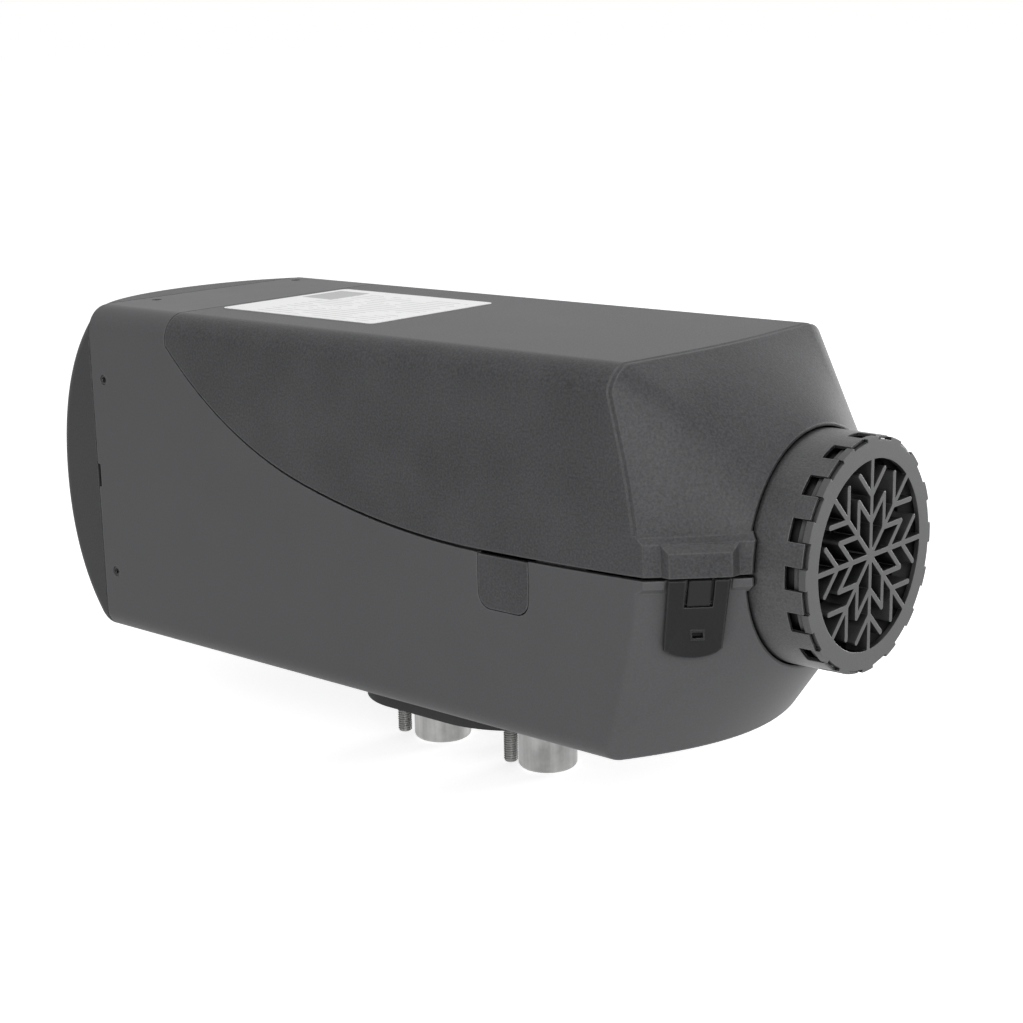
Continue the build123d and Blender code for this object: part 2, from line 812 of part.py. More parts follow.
def snowflake():
    """Star of rhombi about the centre, and a pair of short branches on every spoke."""
    step = 360 / spoke_count
    pattern = Circle(3.0)
    for i in range(spoke_count):
        bearing = i * step
        root = polar(star_side, bearing)
        for turn in (-step, step):
            tip = polar(star_side, bearing + turn)
            pattern += rib(root, (root[0] + tip[0], root[1] + tip[1]))
            outer_root = polar(branch_root, bearing)
            reach = polar(branch_length, bearing + turn)
            pattern += rib(outer_root, (outer_root[0] + reach[0], outer_root[1] + reach[1]))
        pattern += rib((0, 0), polar(grille_open_radius + 1, bearing))
    return pattern


def make_inlet_grille():
    """Clip-in grille: stepped rim, face ring, deep blades in a snowflake pattern and clip lugs."""
    grille = tube(grille_rim_radius, grille_open_radius, grille_face_x - grille_rim_wall, grille_face_x)
    steps = ((grille_rim_radius, grille_rim_length), (grille_skirt_radius, grille_skirt_length))
    for radius, length in steps:
        grille += tube(radius, grille_skirt_radius - grille_rim_wall, grille_face_x - length, grille_face_x)
    grille += along(snowflake(), grille_face_x - rib_depth, grille_face_x)
    outer = collar_front_radius - lug_drop
    width = notch_angle - degrees(2 * lug_gap / collar_front_radius)
    for bearing in notch_bearings():
        lug = sector(outer, grille_rim_radius - 1, bearing, width)
        grille += along(lug, grille_face_x - lug_length, grille_face_x)
    return grille


# ---- foot, stubs, studs, fuel pipe ----
def stud_spots():
    half_x = stud_spacing_x / 2
    half_y = stud_spacing_y / 2
    return [(x, y) for x in (-half_x, half_x) for y in (-half_y, half_y)]


def make_base_gasket():
    """Rubber foot gasket: a floor with a raised rim, which the casing rests on."""
    gasket = foot_plate(0, 0, case_bottom - fit_gap)
    gasket -= foot_plate(gasket_rim, gasket_floor, case_bottom + 1)
    for x, y in stud_spots():
        gasket -= upright(stud_radius + fit_gap, x, y, -1, case_bottom)
    for x in (exhaust_x, intake_x):
        gasket -= upright(stub_radius + fit_gap, x, 0, -1, case_bottom)
    return gasket - upright(fuel_hose_radius + fit_gap, fuel_x, fuel_y, -1, case_bottom)


def make_mounting_studs():
    studs = []
    for x, y in stud_spots():
        stud = upright(stud_radius, x, y, -stud_reach, 0)
        stud = chamfer(stud.edges().sort_by(Axis.Z)[0], 0.8)
        studs.append(stud + upright(stud_seat_radius, x, y, -1, stud_seat_z))
    return Compound(studs)


def make_stub(x):
    """Cast pipe stub below the foot, its upper end seated in the heat exchanger."""
    stub = upright(stub_radius, x, 0, -stub_reach, 0)
    stub = fillet(stub.edges().sort_by(Axis.Z)[0], stub_round)
    stub += upright(stub_seat_radius, x, 0, -1, stub_seat_z)
    return stub - upright(stub_bore, x, 0, -stub_reach - 1, stub_seat_z + 1)


def make_heat_exchanger():
    """Finned aluminium drum on its foot, with exhaust and intake passages."""
    drum = along(Circle(drum_radius), drum_rear_x, drum_front_x)
    drum = fillet(drum.edges().sort_by(Axis.X)[0], drum_end_round)
    body = drum + along(Circle(burner_flange_radius), drum_front_x - 6, drum_front_x)
    middle = (drum_radius + fin_radius) / 2 - 2
    depth = fin_radius - drum_radius + 4
    for i in range(fin_count):
        fin = Rot(Z=i * 360 / fin_count) * Pos(middle, 0) * Rectangle(depth, fin_thickness)
        body += along(fin, drum_rear_x + 8, drum_front_x - 1)
    inset = gasket_rim + fit_gap
    body += foot_plate(inset, gasket_floor + fit_gap, foot_flange_z)
    body += foot_plate(0.5, case_bottom + wall + fit_gap, foot_flange_z)
    drum_low = axis_z - drum_radius
    body += upright(17, exhaust_x, 0, foot_flange_z - 1, drum_low + 4)
    body += upright(17, intake_x, 0, foot_flange_z - 1, intake_column_z)
    body += slab(intake_x - 16, drum_front_x, -5, 5, intake_column_z - 2, drum_low + 2)
    body += slab(intake_x, intake_mouth_x, -12, 12, foot_flange_z - 1, intake_column_z)
    body += upright(glow_boss_radius, glow_x, 0, axis_z + drum_radius - 4, glow_boss_z)
    body += slab(sensor_x - 12, sensor_x + 12, -8, 8, axis_z + drum_radius - 2, sensor_z)
    cavity = along(Circle(drum_radius - drum_wall), drum_rear_x + drum_wall, drum_front_x + 1)
    body -= fillet(cavity.edges().sort_by(Axis.X)[0], drum_end_round - drum_wall)
    body -= upright(stub_bore, exhaust_x, 0, 0, axis_z - drum_radius + drum_wall + 6)
    body -= upright(stub_bore, intake_x, 0, 0, passage_z + passage_radius)
    body -= along(Pos(0, 0) * Circle(passage_radius), intake_x, intake_mouth_x + 1, passage_z)
    for x in (exhaust_x, intake_x):
        body -= upright(stub_seat_radius + shaft_clearance, x, 0, 0, stub_seat_z + shaft_clearance)
    for x, y in stud_spots():
        body -= upright(stud_seat_radius + shaft_clearance, x, y, 0, stud_seat_z + shaft_clearance)
    body -= upright(fuel_radius + fit_gap, fuel_x, fuel_y, 0, foot_flange_z + 1)
    body -= upright(glow_hole, glow_x, 0, axis_z, glow_boss_z + 1)
    body -= upright(glow_boss_radius, glow_x, 0, glow_boss_z, glow_boss_z + 20)
    for x, y, z in screw_circle_spots():
        peg = Pos(drum_front_x - 4, y, z) * Rot(Y=90) * Cylinder(housing_screw_radius + shaft_clearance, 12)
        body -= peg
    return body


def screw_circle_spots():
    spots = []
    for bearing in (45, 135, 225, 315):
        y, rise = polar(screw_circle, bearing)
        spots.append((0, y, axis_z + rise))
    return spots


def screw_holes(radius, x_from, x_to):
    """Pegs on the housing screw circle."""
    pegs = []
    for x, y, z in screw_circle_spots():
        pegs.append(along(Pos(y, z - axis_z) * Circle(radius), x_from, x_to))
    return pegs


def make_burner_gasket():
    x_from = drum_front_x + fit_gap
    gasket = tube(burner_flange_radius, drum_radius - drum_wall, x_from, x_from + burner_gasket_width)
    for hole in screw_holes(housing_screw_radius + fit_gap, x_from - 1, x_from + burner_gasket_width + 1):
        gasket -= hole
    return gasket


def make_burner_tube():
    """Burner: flange, flame tube with two rows of air holes, and the fuel inlet boss."""
    flange_end = burner_flange_x + burner_flange_width
    burner = along(Circle(burner_flange_radius), burner_flange_x, flange_end)
    burner += along(Circle(burner_radius), burner_rear_x, burner_flange_x + 1)
    fuel_end_x = burner_flange_x + burner_flange_width / 2
    neck_z = axis_z - sqrt(burner_flange_radius ** 2 - fuel_y ** 2)
    burner += slab(fuel_end_x - 2.2, fuel_end_x + 2.2, fuel_y - 4, fuel_y + 4, fuel_end_z, neck_z + 4)
    burner += slab(fuel_end_x - 4, fuel_end_x + 4, fuel_y - 5, fuel_y + 5, fuel_end_z - 6, fuel_end_z + 2)
    burner -= along(Circle(burner_radius - burner_wall), burner_rear_x - 1, burner_flange_x + 1)
    burner -= along(Circle(12), burner_flange_x, flange_end + 1)
    hole_top = fuel_end_z + shaft_clearance
    burner -= upright(fuel_radius + shaft_clearance, fuel_end_x, fuel_y, fuel_end_z - 7, hole_top)
    for row_x in (-50, -20):
        for i in range(10):
            hole = Rot(X=i * 36 + 18) * Pos(0, 0, burner_radius) * Cylinder(2.5, 8)
            burner -= Pos(row_x, 0, axis_z) * hole
    burner -= upright(glow_hole, glow_x, 0, axis_z + 20, axis_z + 40)
    for hole in screw_holes(housing_screw_radius + fit_gap, burner_flange_x - 1, flange_end + 1):
        burner -= hole
    return burner


def make_evaporator_mesh():
    """Round wire mesh that fills the burner's front chamber."""
    x_from = burner_flange_x - 10
    mesh = tube(burner_radius - burner_wall - fit_gap, 12, x_from, x_from + 2.5)
    for ring in (16, 20, 24):
        for i in range(ring):
            hole = Rot(Z=i * 360 / ring) * Pos(ring, 0) * Circle(1.2)
            mesh -= along(hole, x_from - 1, x_from + 4)
    return mesh


def make_glow_plug():
    tip = upright(2.2, glow_x, 0, axis_z + 14, axis_z + 32)
    thread = upright(glow_hole - fit_gap, glow_x, 0, axis_z + 31, glow_boss_z + 0.5)
    hexagon = Pos(glow_x, 0, glow_boss_z + fit_gap) * RegularPolygon(8, 6)
    head = extrude(hexagon, amount=4)
    return tip + thread + head + upright(2, glow_x, 0, glow_boss_z, glow_boss_z + 10)


def make_glow_plug_boot():
    low = glow_boss_z + 4 + 2 * fit_gap
    boot = upright(6, glow_x, 0, low, low + 10)
    boot = fillet(boot.edges().sort_by(Axis.Z)[-1], 2)
    boot += slab(glow_x - 22, glow_x, -2.5, 2.5, low + 3, low + 8)
    return boot - upright(2 + shaft_clearance, glow_x, 0, low - 1, glow_boss_z + 10 + shaft_clearance)


def make_fuel_pipe():
    end_x = burner_flange_x + burner_flange_width / 2
    path = FilletPolyline(
        (fuel_x, fuel_y, -fuel_reach),
        (fuel_x, fuel_y, fuel_run_z),
        (end_x, fuel_y, fuel_run_z),
        (end_x, fuel_y, fuel_end_z),
        radius=fuel_bend,
    )
    start = Plane(origin=(fuel_x, fuel_y, -fuel_reach), z_dir=(0, 0, 1))
    pipe = sweep(start * Circle(fuel_radius), path=path)
    pipe += upright(fuel_hose_radius, fuel_x, fuel_y, -fuel_reach, -1)
    return pipe - sweep(start * Circle(fuel_radius - 0.9), path=path)


# ---- blower and motor ----
def make_impeller_cover():
    plate = tube(burner_flange_radius, 13, impeller_cover_x, impeller_cover_x + 2.5)
    for hole in screw_holes(housing_screw_radius + fit_gap, impeller_cover_x - 1, impeller_cover_x + 4):
        plate -= hole
    return plate


def make_blower_housing():
    """Cast ring round the combustion impeller, with its air inlet and control unit rest."""
    ring = along(Circle(burner_flange_radius), blower_x, blower_front_x)
    ring += slab(blower_x + 6, blower_front_x - 6, -18, 18, axis_z + 30, ecu_z - fit_gap)
    low = passage_z - passage_radius - 3
    ring += slab(intake_mouth_x + fit_gap, blower_front_x - 5, -13, 13, low, axis_z - 40)
    ring -= along(Circle(burner_flange_radius - blower_wall), blower_x - 1, blower_front_x - blower_face)
    ring -= along(Circle(4), blower_x, blower_front_x + 1)
    ring -= along(Circle(passage_radius), intake_mouth_x - 1, intake_mouth_x + 10, passage_z)
    ring -= slab(intake_mouth_x + 4, blower_front_x - blower_face - 4, -passage_radius, passage_radius,
                 passage_z - passage_radius, axis_z - 30)
    for hole in screw_holes(housing_screw_radius + fit_gap, blower_x - 1, blower_front_x + 1):
        ring -= hole
    for spot in motor_screw_spots():
        hole = Pos(*spot) * Circle(motor_screw_radius + shaft_clearance)
        ring -= along(hole, blower_front_x - 5, blower_front_x + 1)
    return ring


def make_housing_screws():
    """Four long screws that clamp blower, burner flange and heat exchanger together."""
    shanks = screw_holes(housing_screw_radius, drum_front_x - 8, blower_front_x + fit_gap)
    heads = screw_holes(3.6, blower_front_x + fit_gap, blower_front_x + fit_gap + 4)
    sockets = screw_holes(1.7, blower_front_x + 2, blower_front_x + 6)
    return Compound([shank + head - socket for shank, head, socket in zip(shanks, heads, sockets)])


def make_combustion_impeller():
    """Backing disc with curved blades that fling combustion air outwards."""
    back = blower_front_x - blower_face - 3
    impeller = along(Circle(impeller_radius), back - 2, back)
    impeller += along(Circle(8), back - 14, back)
    for i in range(impeller_blades):
        blade = sector(impeller_radius + 9, impeller_radius + 7.4, 0, 32)
        blade = Pos(-impeller_radius + 9, 16) * blade & Circle(impeller_radius)
        impeller += along(Rot(Z=i * 360 / impeller_blades) * blade, back - 14, back)
    return impeller - along(Circle(shaft_radius), back - 15, back + 1)


def motor_screw_spots():
    return [(29 * cos(radians(a)), 29 * sin(radians(a))) for a in (0, 120, 240)]


def make_motor_can():
    """Motor can with its mounting flange and the seat of the first bearing."""
    can = along(Circle(motor_radius + 8), motor_x, motor_x + 3)
    can += along(Circle(motor_radius), motor_x, motor_front_x - motor_cap)
    can -= along(Circle(motor_radius - motor_wall), motor_x + 2.5, motor_front_x)
    can += along(Circle(bearing_radius + 3), motor_x + 1, motor_x + 2.5 + bearing_width)
    can -= along(Circle(bearing_radius + shaft_clearance), motor_x + 2.5, motor_x + 20)
    can -= along(Circle(4), motor_x - 1, motor_x + 3)
    for spot in motor_screw_spots():
        can -= along(Pos(*spot) * Circle(motor_screw_radius + fit_gap), motor_x - 1, motor_x + 4)
    return can


def make_motor_end_cap():
    start = motor_front_x - motor_cap + fit_gap
    cap = along(Circle(motor_radius), start, motor_front_x)
    cap += along(Circle(bearing_radius + 3), start - bearing_width, start)
    cap -= along(Circle(bearing_radius + shaft_clearance), start - bearing_width - 1, start)
    return cap - along(Circle(4), start - 1, motor_front_x + 1)


def make_motor_magnets():
    """Two magnet shells inside the can."""
    middle = motor_x + motor_length / 2
    outer = motor_radius - motor_wall - shaft_clearance
    shells = []
    for bearing in (0, 180):
        shell = sector(outer, armature_radius + 1, bearing, magnet_angle)
        shells.append(along(shell, middle - 11, middle + 11))
    return Compound(shells)


def make_motor_bearings():
    first = motor_x + 2.5
    second = motor_front_x - motor_cap + fit_gap - bearing_width
    rings = []
    for start in (first, second):
        rings.append(tube(bearing_radius, shaft_radius + shaft_clearance, start, start + bearing_width))
    return Compound(rings)


def make_motor_screws():
    screws = []
    for spot in motor_screw_spots():
        shank = along(Pos(*spot) * Circle(motor_screw_radius), blower_front_x - 4, motor_x + 3.5)
        head = along(Pos(*spot) * Circle(2.8), motor_x + 3 + shaft_clearance, motor_x + 5.5)
        screws.append(shank + head - along(Pos(*spot) * Circle(1.2), motor_x + 4.5, motor_x + 6))
    return Compound(screws)


def make_motor_shaft():
    back = blower_front_x - blower_face - 17
    return along(Circle(shaft_radius), back, fan_start_x + fan_length + 5)


def make_motor_armature():
    """Slotted armature on the shaft."""
    middle = motor_x + motor_length / 2
    outline = Circle(armature_radius)
    for i in range(8):
        outline -= Rot(Z=i * 45) * Pos(armature_radius - 3, 0) * Rectangle(8, 2)
    armature = along(outline, middle - 10, middle + 10)
    return armature - along(Circle(shaft_radius), middle - 11, middle + 11)


def make_heating_fan():
    """Axial fan: hub cup and pitched blades inside the inlet collar."""
    end = fan_start_x + fan_length
    fan = along(Circle(fan_hub_radius), fan_start_x, end)
    fan = fillet(fan.edges().sort_by(Axis.X)[-1], 4)
    fan -= tube(fan_hub_radius - 2, 7, fan_start_x - 1, end - 3)
    reach = fan_radius - fan_hub_radius + 4
    for i in range(fan_blades):
        blade = Rot(Z=fan_pitch) * Box(fan_length * 1.05, 2, reach)
        blade = Pos(0, 0, fan_hub_radius - 1 + reach / 2) * blade
        blade = Pos((fan_start_x + end) / 2, 0, axis_z) * Rot(X=i * 360 / fan_blades) * blade
        fan += blade & tube(fan_radius, fan_hub_radius - 1, fan_start_x, end)
    return fan - along(Circle(shaft_radius), fan_start_x - 1, end + 1)


def make_fan_nut():
    end = fan_start_x + fan_length
    nut = along(RegularPolygon(5, 6), end, end + 4)
    return nut - along(Circle(shaft_radius), end - 1, end + 5)


# ---- control unit and sensor ----
def ecu_posts(radius, z_from, z_to):
    pegs = []
    for x in (ecu_start_x + 5, ecu_start_x + ecu_length - 5):
        for side in (-1, 1):
            pegs.append(upright(radius, x, side * (ecu_width / 2 - 5), z_from, z_to))
    return pegs


def make_ecu_case():
    end = ecu_start_x + ecu_length
    half = ecu_width / 2
    case = slab(ecu_start_x, end, -half, half, ecu_z, ecu_z + ecu_height)
    case = fillet(case.edges().filter_by(Axis.Z), 4)
    case -= slab(ecu_start_x + ecu_wall, end - ecu_wall, -half + ecu_wall, half - ecu_wall,
                 ecu_z + ecu_wall, ecu_z + ecu_height + 1)
    for post in ecu_posts(3.5, ecu_z + 1, ecu_z + 8):
        case += post
    for hole in ecu_posts(1.5 + shaft_clearance, ecu_z + 3, ecu_z + 20):
        case -= hole
    return case - slab(end - 4, end + 1, -11, 11, ecu_z + 8, ecu_z + ecu_height - 2)


def make_ecu_lid():
    end = ecu_start_x + ecu_length
    half = ecu_width / 2
    low = ecu_z + ecu_height + fit_gap
    lid = slab(ecu_start_x, end, -half, half, low, low + 1.8)
    lid = fillet(lid.edges().filter_by(Axis.Z), 4)
    for hole in ecu_posts(1.5 + fit_gap, low - 1, low + 3):
        lid -= hole
    return lid


def make_circuit_board():
    """Board on the case's posts, with its largest parts."""
    gap = ecu_wall + 0.6
    half = ecu_width / 2 - gap
    low = ecu_z + 8 + fit_gap
    board = slab(ecu_start_x + gap, ecu_start_x + ecu_length - gap, -half, half, low, low + 1.6)
    for hole in ecu_posts(1.5 + fit_gap, low - 1, low + 3):
        board -= hole
    board += upright(4, ecu_start_x + 30, 15, low + 1, low + 6)
    board += upright(4, ecu_start_x + 42, 15, low + 1, low + 6)
    board += slab(ecu_start_x + 24, ecu_start_x + 38, -18, -6, low + 1, low + 3.4)
    board += slab(ecu_start_x + 50, ecu_start_x + 58, -20, -8, low + 1, low + 5)
    return board


def make_ecu_connector():
    """Plug socket in the case's front wall."""
    end = ecu_start_x + ecu_length
    low = ecu_z + 8 + fit_gap
    high = ecu_z + ecu_height - 2 - fit_gap
    socket = slab(end - 1.7, end + 8, -10.7, 10.7, low, high)
    return socket - slab(end + 1, end + 9, -9, 9, low + 1.2, high - 1.2)


def make_ecu_screws():
    top = ecu_z + ecu_height + fit_gap + 1.8
    shanks = ecu_posts(1.5, ecu_z + 4, top + 1)
    heads = ecu_posts(2.8, top + shaft_clearance, top + 1.8)
    drives = ecu_posts(1.1, top + 1, top + 3)
    return Compound([shank + head - drive for shank, head, drive in zip(shanks, heads, drives)])


def make_overheat_sensor():
    low = sensor_z + shaft_clearance
    sensor = slab(sensor_x - 7, sensor_x + 7, -5, 5, low, low + 6)
    sensor = fillet(sensor.edges().filter_by(Axis.Z), 1.5)
    return sensor + slab(sensor_x + 6, sensor_x + 12, -3, 3, low + 1, low + 3)


def make_sensor_clip():
    """Spring steel bridge over the sensor, its feet beside the exchanger's pad."""
    top = sensor_z + 6 + 3 * shaft_clearance
    inner = 8 + fit_gap
    clip = slab(sensor_x - 4, sensor_x + 4, -inner - 0.9, inner + 0.9, sensor_z - 9, top + 0.9)
    return clip - slab(sensor_x - 5, sensor_x + 5, -inner, inner, sensor_z - 10, top)


os.makedirs("parts", exist_ok=True)

pieces = {
    "lower_shell": make_lower_shell(),
    "upper_cover": make_upper_cover(),
    "rating_label": make_rating_label(),
    "outlet_hood": make_outlet_hood(),
    "hood_screws": make_hood_screws(),
    "inlet_collar": make_inlet_collar(),
    "inlet_grille": make_inlet_grille(),
    "latch_near": make_latch(),
    "latch_far": other_side(make_latch()),
    "cable_plug_near": make_plug(),
    "cable_plug_far": other_side(make_plug()),
    "base_gasket": make_base_gasket(),
    "mounting_studs": make_mounting_studs(),
    "exhaust_stub": make_stub(exhaust_x),
    "intake_stub": make_stub(intake_x),
    "heat_exchanger": make_heat_exchanger(),
    "burner_gasket": make_burner_gasket(),
    "burner_tube": make_burner_tube(),
    "evaporator_mesh": make_evaporator_mesh(),
    "glow_plug": make_glow_plug(),
    "glow_plug_boot": make_glow_plug_boot(),
    "fuel_pipe": make_fuel_pipe(),
    "impeller_cover": make_impeller_cover(),
    "blower_housing": make_blower_housing(),
    "housing_screws": make_housing_screws(),
    "combustion_impeller": make_combustion_impeller(),
    "motor_can": make_motor_can(),
    "motor_end_cap": make_motor_end_cap(),
    "motor_magnets": make_motor_magnets(),
    "motor_bearings": make_motor_bearings(),
    "motor_screws": make_motor_screws(),
    "motor_shaft": make_motor_shaft(),
    "motor_armature": make_motor_armature(),
    "heating_fan": make_heating_fan(),
    "fan_nut": make_fan_nut(),
    "ecu_case": make_ecu_case(),
    "ecu_lid": make_ecu_lid(),
    "circuit_board": make_circuit_board(),
    "ecu_connector": make_ecu_connector(),
    "ecu_screws": make_ecu_screws(),
    "overheat_sensor": make_overheat_sensor(),
    "sensor_clip": make_sensor_clip(),
}

for name, piece in pieces.items():
    piece.label = name
    export_step(piece, f"parts/{name}.step")
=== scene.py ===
"""A diesel air heater in a dark grey plastic casing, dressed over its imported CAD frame."""

from math import pi, radians

import bpy
from mathutils import Matrix, Vector


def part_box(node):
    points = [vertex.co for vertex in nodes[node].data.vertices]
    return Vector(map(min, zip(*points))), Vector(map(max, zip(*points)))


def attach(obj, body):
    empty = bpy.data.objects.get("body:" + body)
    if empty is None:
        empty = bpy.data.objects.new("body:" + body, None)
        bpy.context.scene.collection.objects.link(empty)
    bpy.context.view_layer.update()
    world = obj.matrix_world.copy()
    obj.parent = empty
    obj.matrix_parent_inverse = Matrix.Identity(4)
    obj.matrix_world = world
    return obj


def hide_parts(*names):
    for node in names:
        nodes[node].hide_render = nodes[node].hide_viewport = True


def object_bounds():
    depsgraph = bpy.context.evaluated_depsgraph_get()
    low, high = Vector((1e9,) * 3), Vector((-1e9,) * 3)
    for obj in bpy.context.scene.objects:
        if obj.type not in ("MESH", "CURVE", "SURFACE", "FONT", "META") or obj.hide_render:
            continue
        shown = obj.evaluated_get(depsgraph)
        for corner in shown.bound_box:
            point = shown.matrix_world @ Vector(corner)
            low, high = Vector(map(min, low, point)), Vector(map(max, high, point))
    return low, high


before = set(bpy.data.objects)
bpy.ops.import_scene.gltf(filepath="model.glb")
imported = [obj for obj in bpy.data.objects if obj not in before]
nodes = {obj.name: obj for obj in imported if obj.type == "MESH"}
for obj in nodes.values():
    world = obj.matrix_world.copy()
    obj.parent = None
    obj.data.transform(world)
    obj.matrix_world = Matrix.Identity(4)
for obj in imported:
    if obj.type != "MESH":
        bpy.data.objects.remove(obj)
cad_low, cad_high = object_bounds()


# ---------------------------------------------------------------------------
# The studio: a white floor that runs out to the horizon, a soft lamp beside
# the camera, a wide one far behind the inlet and one overhead. The camera
# stands a little above the casing, off the inlet corner.
# ---------------------------------------------------------------------------
def background_share(tree):
    """1 for rays that come straight from the camera, a glossy surface or glass."""
    path = tree.nodes.new("ShaderNodeLightPath")
    either = tree.nodes.new("ShaderNodeMath")
    either.operation = "MAXIMUM"
    any_of = tree.nodes.new("ShaderNodeMath")
    any_of.operation = "MAXIMUM"
    tree.links.new(path.outputs["Is Camera Ray"], either.inputs[0])
    tree.links.new(path.outputs["Is Glossy Ray"], either.inputs[1])
    tree.links.new(either.outputs[0], any_of.inputs[0])
    tree.links.new(path.outputs["Is Transmission Ray"], any_of.inputs[1])
    return any_of.outputs[0]


floor_reach = 60.0
floor_color = (0.86, 0.86, 0.86, 1)
floor_glow_strength = 0.725
corners = ((-1, -1), (1, -1), (1, 1), (-1, 1))
floor_mesh = bpy.data.meshes.new("studio_floor")
floor_mesh.from_pydata(
    [(x * floor_reach, y * floor_reach, cad_low.z) for x, y in corners], [], [(0, 1, 2, 3)])
floor = bpy.data.objects.new("studio_floor", floor_mesh)
bpy.context.scene.collection.objects.link(floor)
floor_white = bpy.data.materials.new("studio_white")
floor_white.use_nodes = True
floor_tree = floor_white.node_tree
floor_tree.nodes.clear()
floor_output = floor_tree.nodes.new("ShaderNodeOutputMaterial")
floor_matt = floor_tree.nodes.new("ShaderNodeBsdfDiffuse")
floor_matt.inputs["Color"].default_value = floor_color
floor_glow = floor_tree.nodes.new("ShaderNodeEmission")
floor_level = floor_tree.nodes.new("ShaderNodeMath")
floor_level.operation = "MULTIPLY"
floor_level.inputs[1].default_value = floor_glow_strength
floor_sum = floor_tree.nodes.new("ShaderNodeAddShader")
floor_tree.links.new(background_share(floor_tree), floor_level.inputs[0])
floor_tree.links.new(floor_level.outputs[0], floor_glow.inputs["Strength"])
floor_tree.links.new(floor_matt.outputs[0], floor_sum.inputs[0])
floor_tree.links.new(floor_glow.outputs[0], floor_sum.inputs[1])
floor_tree.links.new(floor_sum.outputs[0], floor_output.inputs["Surface"])
floor_mesh.materials.append(floor_white)

air_fill = 0.33
air_backdrop = 1.0
world = bpy.data.worlds.new("studio_air")
world.use_nodes = True
bpy.context.scene.world = world
air = world.node_tree
air.nodes.clear()
air_output = air.nodes.new("ShaderNodeOutputWorld")
air_light = air.nodes.new("ShaderNodeBackground")
air_light.inputs["Color"].default_value = (1, 1, 1, 1)
air_level = air.nodes.new("ShaderNodeMapRange")
air_level.inputs["To Min"].default_value = air_fill
air_level.inputs["To Max"].default_value = air_backdrop
air.links.new(background_share(air), air_level.inputs["Value"])
air.links.new(air_level.outputs["Result"], air_light.inputs["Strength"])
air.links.new(air_light.outputs[0], air_output.inputs["Surface"])


def softbox(name, place, target, width, power):
    """A square area lamp that faces the object."""
    lamp = bpy.data.lights.new(name, "AREA")
    lamp.shape = "SQUARE"
    lamp.size = width
    lamp.energy = power
    holder = bpy.data.objects.new(name, lamp)
    holder.location = place
    holder.rotation_euler = (Vector(target) - Vector(place)).to_track_quat("-Z", "Y").to_euler()
    bpy.context.scene.collection.objects.link(holder)


nose_middle = (0.1, 0, 0.09)
casing_middle = (0.05, 0, 0.09)
softbox("key_softbox", place=(1.15, -1.05, 0.62), target=nose_middle, width=0.6, power=12)
softbox("rear_softbox", place=(0.60, 2.2, 0.30), target=nose_middle, width=1.0, power=36)
softbox("overhead_softbox", place=(0.2, -0.2, 1.6), target=casing_middle, width=0.5, power=7)

camera_place = (0.52637, -0.60782, 0.27286)
camera_yaw = 40.75
camera_pitch = -13.54
camera_roll = -1.11
camera_data = bpy.data.cameras.new("camera")
camera_data.lens = 68.70
camera_data.sensor_width = 36
camera_data.clip_start = 0.01
camera_data.clip_end = 100
camera = bpy.data.objects.new("camera", camera_data)
turned = Matrix.Rotation(radians(camera_yaw), 4, "Z")
tilted = Matrix.Rotation(radians(90 + camera_pitch), 4, "X")
rolled = Matrix.Rotation(radians(camera_roll), 4, "Z")
camera.matrix_world = Matrix.Translation(camera_place) @ turned @ tilted @ rolled
bpy.context.scene.collection.objects.link(camera)
bpy.context.scene.camera = camera
bpy.context.scene.view_settings.view_transform = "Standard"


# ---------------------------------------------------------------------------
# Heat exchanger, blower housing and impeller cover: die-cast aluminium, left
# raw. The skin is slightly pitted and cloudy, with long pale flow streaks,
# and corners are rubbed bright where the castings are handled.
# ---------------------------------------------------------------------------
def socket(tree, name, kind, direction="INPUT", value=None):
    """Add a named socket to a node group."""
    made = tree.interface.new_socket(name, in_out=direction, socket_type="NodeSocket" + kind)
    if value is not None:
        made.default_value = value


def feed(tree, entry, value):
    """Set a socket to a number, or link another socket to it."""
    if isinstance(value, bpy.types.NodeSocket):
        tree.links.new(value, entry)
    else:
        entry.default_value = value


def add(tree, kind, entries=(), **options):
    """Add a node, set its options, and feed its inputs from pairs of name and value."""
    made = tree.nodes.new(kind)
    for option, value in options.items():
        setattr(made, option, value)
    for name, value in dict(entries).items():
        feed(tree, made.inputs[name], value)
    return made


def maths(tree, operation, first, second=0.0, clamp=False):
    """The result of a Math node on two numbers or sockets."""
    entries = {0: first, 1: second}
    return add(tree, "ShaderNodeMath", entries, operation=operation, use_clamp=clamp).outputs[0]


def vector_math(tree, operation, first, second):
    """The vector result of a Vector Math node."""
    return add(tree, "ShaderNodeVectorMath", {0: first, 1: second}, operation=operation).outputs[0]


def noise(tree, place, scale, detail, rough):
    """A noise pattern between 0 and 1, its scale in repeats for each metre."""
    entries = {"Vector": place, "Scale": scale, "Detail": detail, "Roughness": rough}
    return add(tree, "ShaderNodeTexNoise", entries).outputs["Fac"]


def own_place(tree):
    return add(tree, "ShaderNodeTexCoord").outputs["Object"]


def about_zero(tree, place, scale, detail, rough):
    """A noise pattern between -0.5 and 0.5."""
    return maths(tree, "SUBTRACT", noise(tree, place, scale, detail, rough), 0.5)


def about_one(tree, pattern, strength):
    """A factor that strays from 1 with a pattern about 0."""
    return maths(tree, "ADD", maths(tree, "MULTIPLY", pattern, strength), 1.0)


def skin_group(name, sockets):
    """Start a surface group: it gives a height, a tone about 1 and a change of roughness."""
    tree = bpy.data.node_groups.new(name, "ShaderNodeTree")
    for label, kind, value in sockets:
        socket(tree, label, kind, value=value)
    for label in ("Height", "Tone", "Gloss"):
        socket(tree, label, "Float", "OUTPUT")
    return tree, tree.nodes.new("NodeGroupInput").outputs, tree.nodes.new("NodeGroupOutput").inputs


